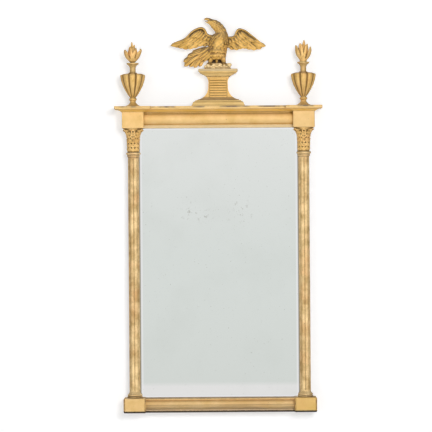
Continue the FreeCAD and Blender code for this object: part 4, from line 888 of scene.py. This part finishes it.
mouldingLook = {
    "cap": ((39.5, -48, 1176), (41.1, -48, 1177.5), (43.6, -48.4, 1179.7), (46.7, -49.2, 1181.9),
            (50.1, -50.3, 1183.9), (53.9, -51.8, 1185.6), (57, -54, 1186.2), (57.2, -54.2, 1188.0),
            (60.5, -55.5, 1188.6), (63.4, -57.4, 1190.2), (65.4, -59.2, 1192.6), (66.3, -60.0, 1195.2),
            (68.6, -61.7, 1195.8), (69, -62, 1196.4), (69, -62, 1202.5), (68, -61, 1203.5)),
    "plinth": ((93, -68, 1073), (93, -68, 1077.6), (92.4, -67.4, 1078.4), (90.4, -65.5, 1078.8),
               (90.0, -65.1, 1082.0), (88.8, -63.9, 1085.0), (86.6, -61.7, 1087.6), (84.0, -59.0, 1089.3),
               (81.6, -56.6, 1089.8), (81.2, -56.2, 1092.2), (79.4, -54.4, 1092.8), (79, -54, 1094)),
    "back": -2, "corner": 0.8, "sharp": 30,
}


def buildMoulding(name):
    shape = Carving()
    back, corner = mouldingLook["back"], mouldingLook["corner"]
    rings = []
    for half, front, z in mouldingLook[name]:
        rings.append([(-half, back, z), (-half, front + corner, z), (corner - half, front, z),
                      (half - corner, front, z), (half, front + corner, z), (half, back, z)])
    shape.addRings(rings)
    mesh = shape.makeMesh("moulded_" + name)
    faces = bmesh.new()
    faces.from_mesh(mesh)
    bmesh.ops.recalc_face_normals(faces, faces=faces.faces)
    faces.to_mesh(mesh)
    faces.free()
    mesh.shade_smooth()
    mesh.set_sharp_from_angle(angle=math.radians(mouldingLook["sharp"]))
    return addObject("moulded_" + name, mesh)


for name in ("cap", "plinth"):
    standFor(buildMoulding(name), "pedestal_" + name, gilt["pedestal"])
print("pedestal moulded")


# flames on the urns

flameLook = {
    "heights": (-3.5, -1, 3, 10, 22, 34, 44), "steps": 24, "cup": 0.42, "thick": 1.2, "voxel": 0.8,
    # core is its radius at those heights
    # each petal is (angle from the room side, ((radius, height, half width) ...))
    "left": {"base": 1226.5, "core": (6, 6, 6.5, 9, 10.5, 7.5, 2), "petals": (
        (12, ((5, 1, 5), (11, 12, 8), (15, 22, 11), (15, 34, 11.5), (12, 45, 9), (9, 54, 4))),
        (-36, ((6, 1, 5), (13, 12, 8), (17, 24, 10.5), (17, 38, 10.5), (15, 48, 8), (15, 57, 3.5))),
        (-60, ((6, 1, 5), (15, 9, 9), (24, 18, 13), (29, 28, 14), (31, 37, 12), (31, 46, 5.5))),
        (62, ((6, 1, 5), (15, 9, 9), (23, 18, 12.5), (28, 27, 13.5), (32, 36, 11.5), (34.5, 43, 7.5),
              (31, 49, 4))),
        (38, ((5, 1, 5), (12, 10, 8), (16, 20, 10), (18, 30, 10), (18, 40, 7.5), (19, 48, 3.5))),
        (-30, ((3, 25, 6), (5, 45, 7), (5, 58, 5.5), (5, 74, 2.4))),
        (60, ((4, 25, 6), (7, 42, 6.5), (8, 54, 5), (8, 64, 2.4))),
        (130, ((5, 1, 6), (14, 14, 11), (18, 30, 11), (16, 44, 7), (15, 54, 1.6))),
        (180, ((5, 1, 6), (14, 14, 11), (17, 30, 12), (13, 46, 8), (8, 58, 1.6))),
        (-130, ((5, 1, 6), (14, 14, 11), (18, 30, 11), (16, 42, 7), (16, 52, 1.6))))},
    "right": {"base": 1228.0, "core": (12, 12.5, 13, 13, 12.5, 8, 2), "petals": (
        (10, ((9, 6, 6), (14, 16, 9), (15, 28, 10.5), (11, 40, 9), (9, 51, 4))),
        (-32, ((10, 6, 6), (16, 16, 9), (19, 28, 11), (20, 42, 10.5), (20, 53, 8), (21, 63, 3.4))),
        (45, ((8, 8, 6), (15, 20, 9.5), (18, 35, 11), (19, 48, 9), (20, 61, 3.6))),
        (-62, ((10, 4, 6), (17, 12, 9), (24, 22, 13), (28, 34, 13.5), (29, 45, 10.5), (29.5, 56, 5))),
        (66, ((10, 4, 6), (17, 10, 9), (23, 18, 13), (27, 28, 14), (29, 38, 12), (28, 51, 5.5))),
        (20, ((4, 20, 6), (8, 36, 8), (9, 50, 8), (9, 60, 6), (9, 75, 2.6))),
        (-12, ((6, 14, 5), (13, 24, 6), (14, 36, 5), (12, 48, 1.6))),
        (140, ((5, 1, 6), (14, 14, 10), (18, 30, 10), (18, 44, 6), (18, 58, 1.6))),
        (180, ((5, 1, 6), (14, 14, 10), (16, 30, 10), (11, 48, 7), (6, 66, 1.6))),
        (-140, ((5, 1, 6), (14, 14, 10), (18, 30, 10), (18, 44, 6), (18, 56, 1.6))))},
}


def buildFlame(side):
    look = flameLook[side]
    shape = Carving()
    x0 = hands[side] * columnX
    core = [(x0, urnY, look["base"] + z) for z in flameLook["heights"]]
    shape.addTube(core, look["core"], facing=(1, 0, 0))
    cup, thick = flameLook["cup"], flameLook["thick"]
    last = flameLook["steps"] - 1
    for angle, profile in look["petals"]:
        out, across = roundAxis(angle)
        rings = []
        curve = curvePoints(profile, flameLook["steps"])
        for i, (r, z, wide) in enumerate(curve):
            tip = max(0, (i / last - 0.86) / 0.14)
            wide = max(wide * math.sqrt(max(0.05, 1 - tip * tip)), 0.7)
            ahead = curve[min(i + 1, last)] - curve[max(i - 1, 0)]
            slope = unit((ahead[0], ahead[1]))
            normal = out * slope[1] + np.array((0, 0, -slope[0]))
            middle = np.array((x0, urnY, look["base"] + z)) + out * r
            ring = []
            for a in np.linspace(-1, 1, 13):
                fall = -cup * wide * a * a
                vein = -0.7 * math.exp(-(a / 0.16) ** 2) + 0.5 * math.exp(-((abs(a) - 0.45) / 0.22) ** 2)
                ring.append(middle + across * a * wide + normal * (thick + fall + vein * min(1, wide / 5)))
            for a in (0.85, 0.4, 0, -0.4, -0.85):
                ring.append(middle + across * a * wide * 0.95 + normal * (-thick - cup * wide * a * a))
            rings.append(ring)
        shape.addRings(rings)
    return shape.build("carved_flame_" + side, flameLook["voxel"])


# capitals: half bell dressed with leaves whose tips roll over

capitalLook = {
    "bottom": 913.0, "wall": -42.0, "voxel": 0.8,
    "bell": ((17.5, 0), (17.5, 12), (17.5, 30), (17.8, 48), (19.5, 62), (23.5, 73), (32, 80), (34.5, 84)),
    # radius, height, half width up each kind of leaf
    "tall": ((17.8, 1, 9), (18.5, 18, 10.5), (18.7, 38, 11), (19.8, 54, 10), (22.5, 64, 7.5),
             (25.5, 70, 4.5)),
    "short": ((17.8, 3, 8), (18.5, 16, 9), (18.8, 30, 8), (19.6, 40, 5.5), (20.6, 46, 3)),
    "upper": ((17.8, 34, 7), (18.8, 48, 8.5), (21, 60, 8), (27, 72, 6.5), (35, 79, 4)),
    # kind, pairs of lobes and angles
    "leaves": (("upper", 4, (-38, 38, -84, 84)), ("tall", 6, (-68, 0, 68)), ("short", 4, (-36, 36, -88, 88))),
    # radius, height, size and thickness of the middle leaf's curled tip
    "curl": (27.5, 71.5, 5.2, 2.1),
    # sideways, forward and up along a horn
    "horn": ((20, 16, 66), (26, 20, 75), (33, 22, 80.5)),
    # height, radius and thickness of the beads below and above the leaves
    "beads": ((1.5, 16.8, 2.0), (82.5, 32.0, 2.2)),
}


def buildCapital(side):
    look = capitalLook
    x0 = hands[side] * columnX
    shape = Carving()

    def around(r, z, angles):
        return [(x0 + r * math.sin(t), look["wall"] - r * math.cos(t), look["bottom"] + z) for t in angles]

    halfTurn = [math.radians(-90 + 180 * i / 40) for i in range(41)]
    shape.addRings([around(r, z, halfTurn) for r, z in curvePoints(look["bell"], 30)])

    def addLeaf(angle, profile, pairs):
        out, across = roundAxis(angle)
        curve = curvePoints(profile, 41)

        def onLeaf(s, sideways):
            # point and outward direction at a share of the height, sideways in half widths
            k = min(max(s, 0), 1) * 39.99
            low = int(k)
            r, z, wide = between(curve, k)
            ahead = unit((curve[low + 1] - curve[low])[:2])
            normal = out * ahead[1] + np.array((0, 0, -ahead[0]))
            drop = 0.016 * (wide * sideways) ** 2
            place = np.array((x0, look["wall"], look["bottom"] + z)) + out * r
            return place + across * wide * sideways - normal * drop, normal

        rib = [onLeaf(s, 0) for s in np.linspace(0, 1, 25)]
        shape.addTube([p + n * 1.2 for p, n in rib], taper(25, (0, 0.7, 1), (2.4, 2.0, 1.6)))
        for k in range(pairs):
            s = 0.02 + 0.8 * k / (pairs - 1)
            for hand in (-1, 1):
                path, outs = [], []
                for step in np.linspace(0, 1, 9):
                    p, n = onLeaf(s + 0.19 * step ** 1.2, hand * (0.1 + 0.95 * math.sin(step * 1.45)))
                    path.append(p + n * (0.1 + 1.8 * math.sin(math.pi * min(step * 0.8, 1))))
                    outs.append(n)
                shape.addFeather(path, 2.7, 2.3, outs, 0.7, 0, 0.6)

    for kind, pairs, angles in look["leaves"]:
        for angle in angles:
            addLeaf(angle, look[kind], pairs)
    # curled tip of the middle leaf, an open ring
    r, z, size, thick = look["curl"]
    loop = [(x0 + size * math.sin(t), look["wall"] - r, look["bottom"] + z + size * math.cos(t))
            for t in np.linspace(-2.9, 2.9, 29)]
    shape.addTube(loop, [thick] * 29)
    # horns under the corners of the block
    for hand in (-1, 1):
        horn = [(x0 + hand * aside, look["wall"] - forward, look["bottom"] + up)
                for aside, forward, up in look["horn"]]
        shape.addTube(curvePoints(horn, 11), np.linspace(3.2, 2.4, 11))
    for z, r, size in look["beads"]:
        shape.addTube(around(r, z, np.linspace(-1.5, 1.5, 41)), [size] * 41, facing=(0, 0, 1))
    return shape.build("carved_capital_" + side, look["voxel"], look["wall"] - 0.2)


for side in hands:
    standFor(buildFlame(side), "urn_flame_" + side, gilt["leaves"])
    standFor(buildCapital(side), "capital_" + side, gilt["leaves"])
print("flames and capitals carved")


# wall, floor, light, camera, in metres

stageLook = {
    "paint": (0.97, 0.97, 0.97), "paintCool": (0.95, 0.95, 0.955), "white": (1, 1, 1),
    # share of the paint that takes shadow, its glow, the room's light, the white seen at the sides
    "shadeShare": 0.64, "glow": 1.42, "ambient": 0.22, "aside": 0.25,
    # two opposite corners
    "wall": ((-4, 0.0015, -0.62), (4, 0.0015, 4)), "floor": ((-14, -8, -0.62), (14, 14, -0.62)),
    # name, place, size and power of the lamps and where they aim
    "aim": (0, 0, 0.7),
    "lamps": (("key", (1.4, -6.2, 1.9), 1.8, 192.0), ("fill", (-3.0, -5.0, 1.0), 2.5, 36.0),
              ("back", (-1.5, 4.0, 2.5), 2.5, 70.0)),
}


def paleMaterial(name, seeThrough):
    g = newGraph(name)
    tone = g.blend(g.noise(g.where(), 3, 2), stageLook["paint"], stageLook["paintCool"])
    matt = g.add("BsdfDiffuse", {"Color": tone})
    glow = g.add("Emission", {"Color": stageLook["white"], "Strength": stageLook["glow"]})
    share = g.times(g.seen()[1], 1 - stageLook["shadeShare"])
    surface = g.add("MixShader", {0: share, 1: matt.outputs[0], 2: glow.outputs[0]}).outputs[0]
    if seeThrough:
        behind = g.add("NewGeometry").outputs["Backfacing"]
        clear = g.add("BsdfTransparent").outputs[0]
        surface = g.add("MixShader", {0: behind, 1: surface, 2: clear}).outputs[0]
    g.add("OutputMaterial", {"Surface": surface})
    return g.owner


def stagePlane(name, seeThrough):
    (x0, y0, z0), (x1, y1, z1) = stageLook[name]
    mesh = bpy.data.meshes.new(name)
    mesh.from_pydata([(x0, y0, z0), (x1, y0, z0), (x1, y1, z1), (x0, y1, z1)], [], [(0, 1, 2, 3)])
    mesh.materials.append(paleMaterial(name + "_paint", seeThrough))
    plane = addObject(name, mesh)
    return plane


wall = stagePlane("wall", True)
for rays in ("diffuse", "shadow", "transmission", "glossy"):
    setattr(wall, "visible_" + rays, False)
stagePlane("floor", False)

scene = bpy.context.scene
world = bpy.data.worlds.new("studio")
scene.world = world
g = Graph(world)
straight, seen = g.seen()
# reflections are white toward the camera side and greyer to the sides
ahead = g.axes(g.add("TexCoord").outputs["Generated"])[1]
white = g.maths("MAXIMUM", g.ramp(ahead, -0.15, -0.7, stageLook["aside"], 1.0), straight)
level = g.maths("MAXIMUM", g.times(seen, white), stageLook["ambient"])
sky = g.add("Background", {"Color": stageLook["white"], "Strength": level})
g.add("OutputWorld", {"Surface": sky.outputs[0]})

for name, place, size, power in stageLook["lamps"]:
    data = bpy.data.lights.new(name, "AREA")
    data.shape = "DISK"
    data.size = size
    data.energy = power
    lamp = addObject(name, data)
    lamp.location = place
    toward = Vector(np.array(stageLook["aim"]) - np.array(place))
    lamp.rotation_euler = toward.to_track_quat("-Z", "Y").to_euler()

cameraLook = {"x": -0.0105, "z": 0.68775, "away": 9.0, "lens": 212.8, "sensor": 36, "roll": 0.0072}
cameraData = bpy.data.cameras.new("photo_camera")
cameraData.lens = cameraLook["lens"]
cameraData.sensor_width = cameraLook["sensor"]
camera = addObject("photo_camera", cameraData)
camera.location = (cameraLook["x"], -cameraLook["away"], cameraLook["z"])
camera.rotation_euler = (math.pi / 2, cameraLook["roll"], 0)
scene.camera = camera
scene.view_settings.view_transform = "Standard"
print("stage set")
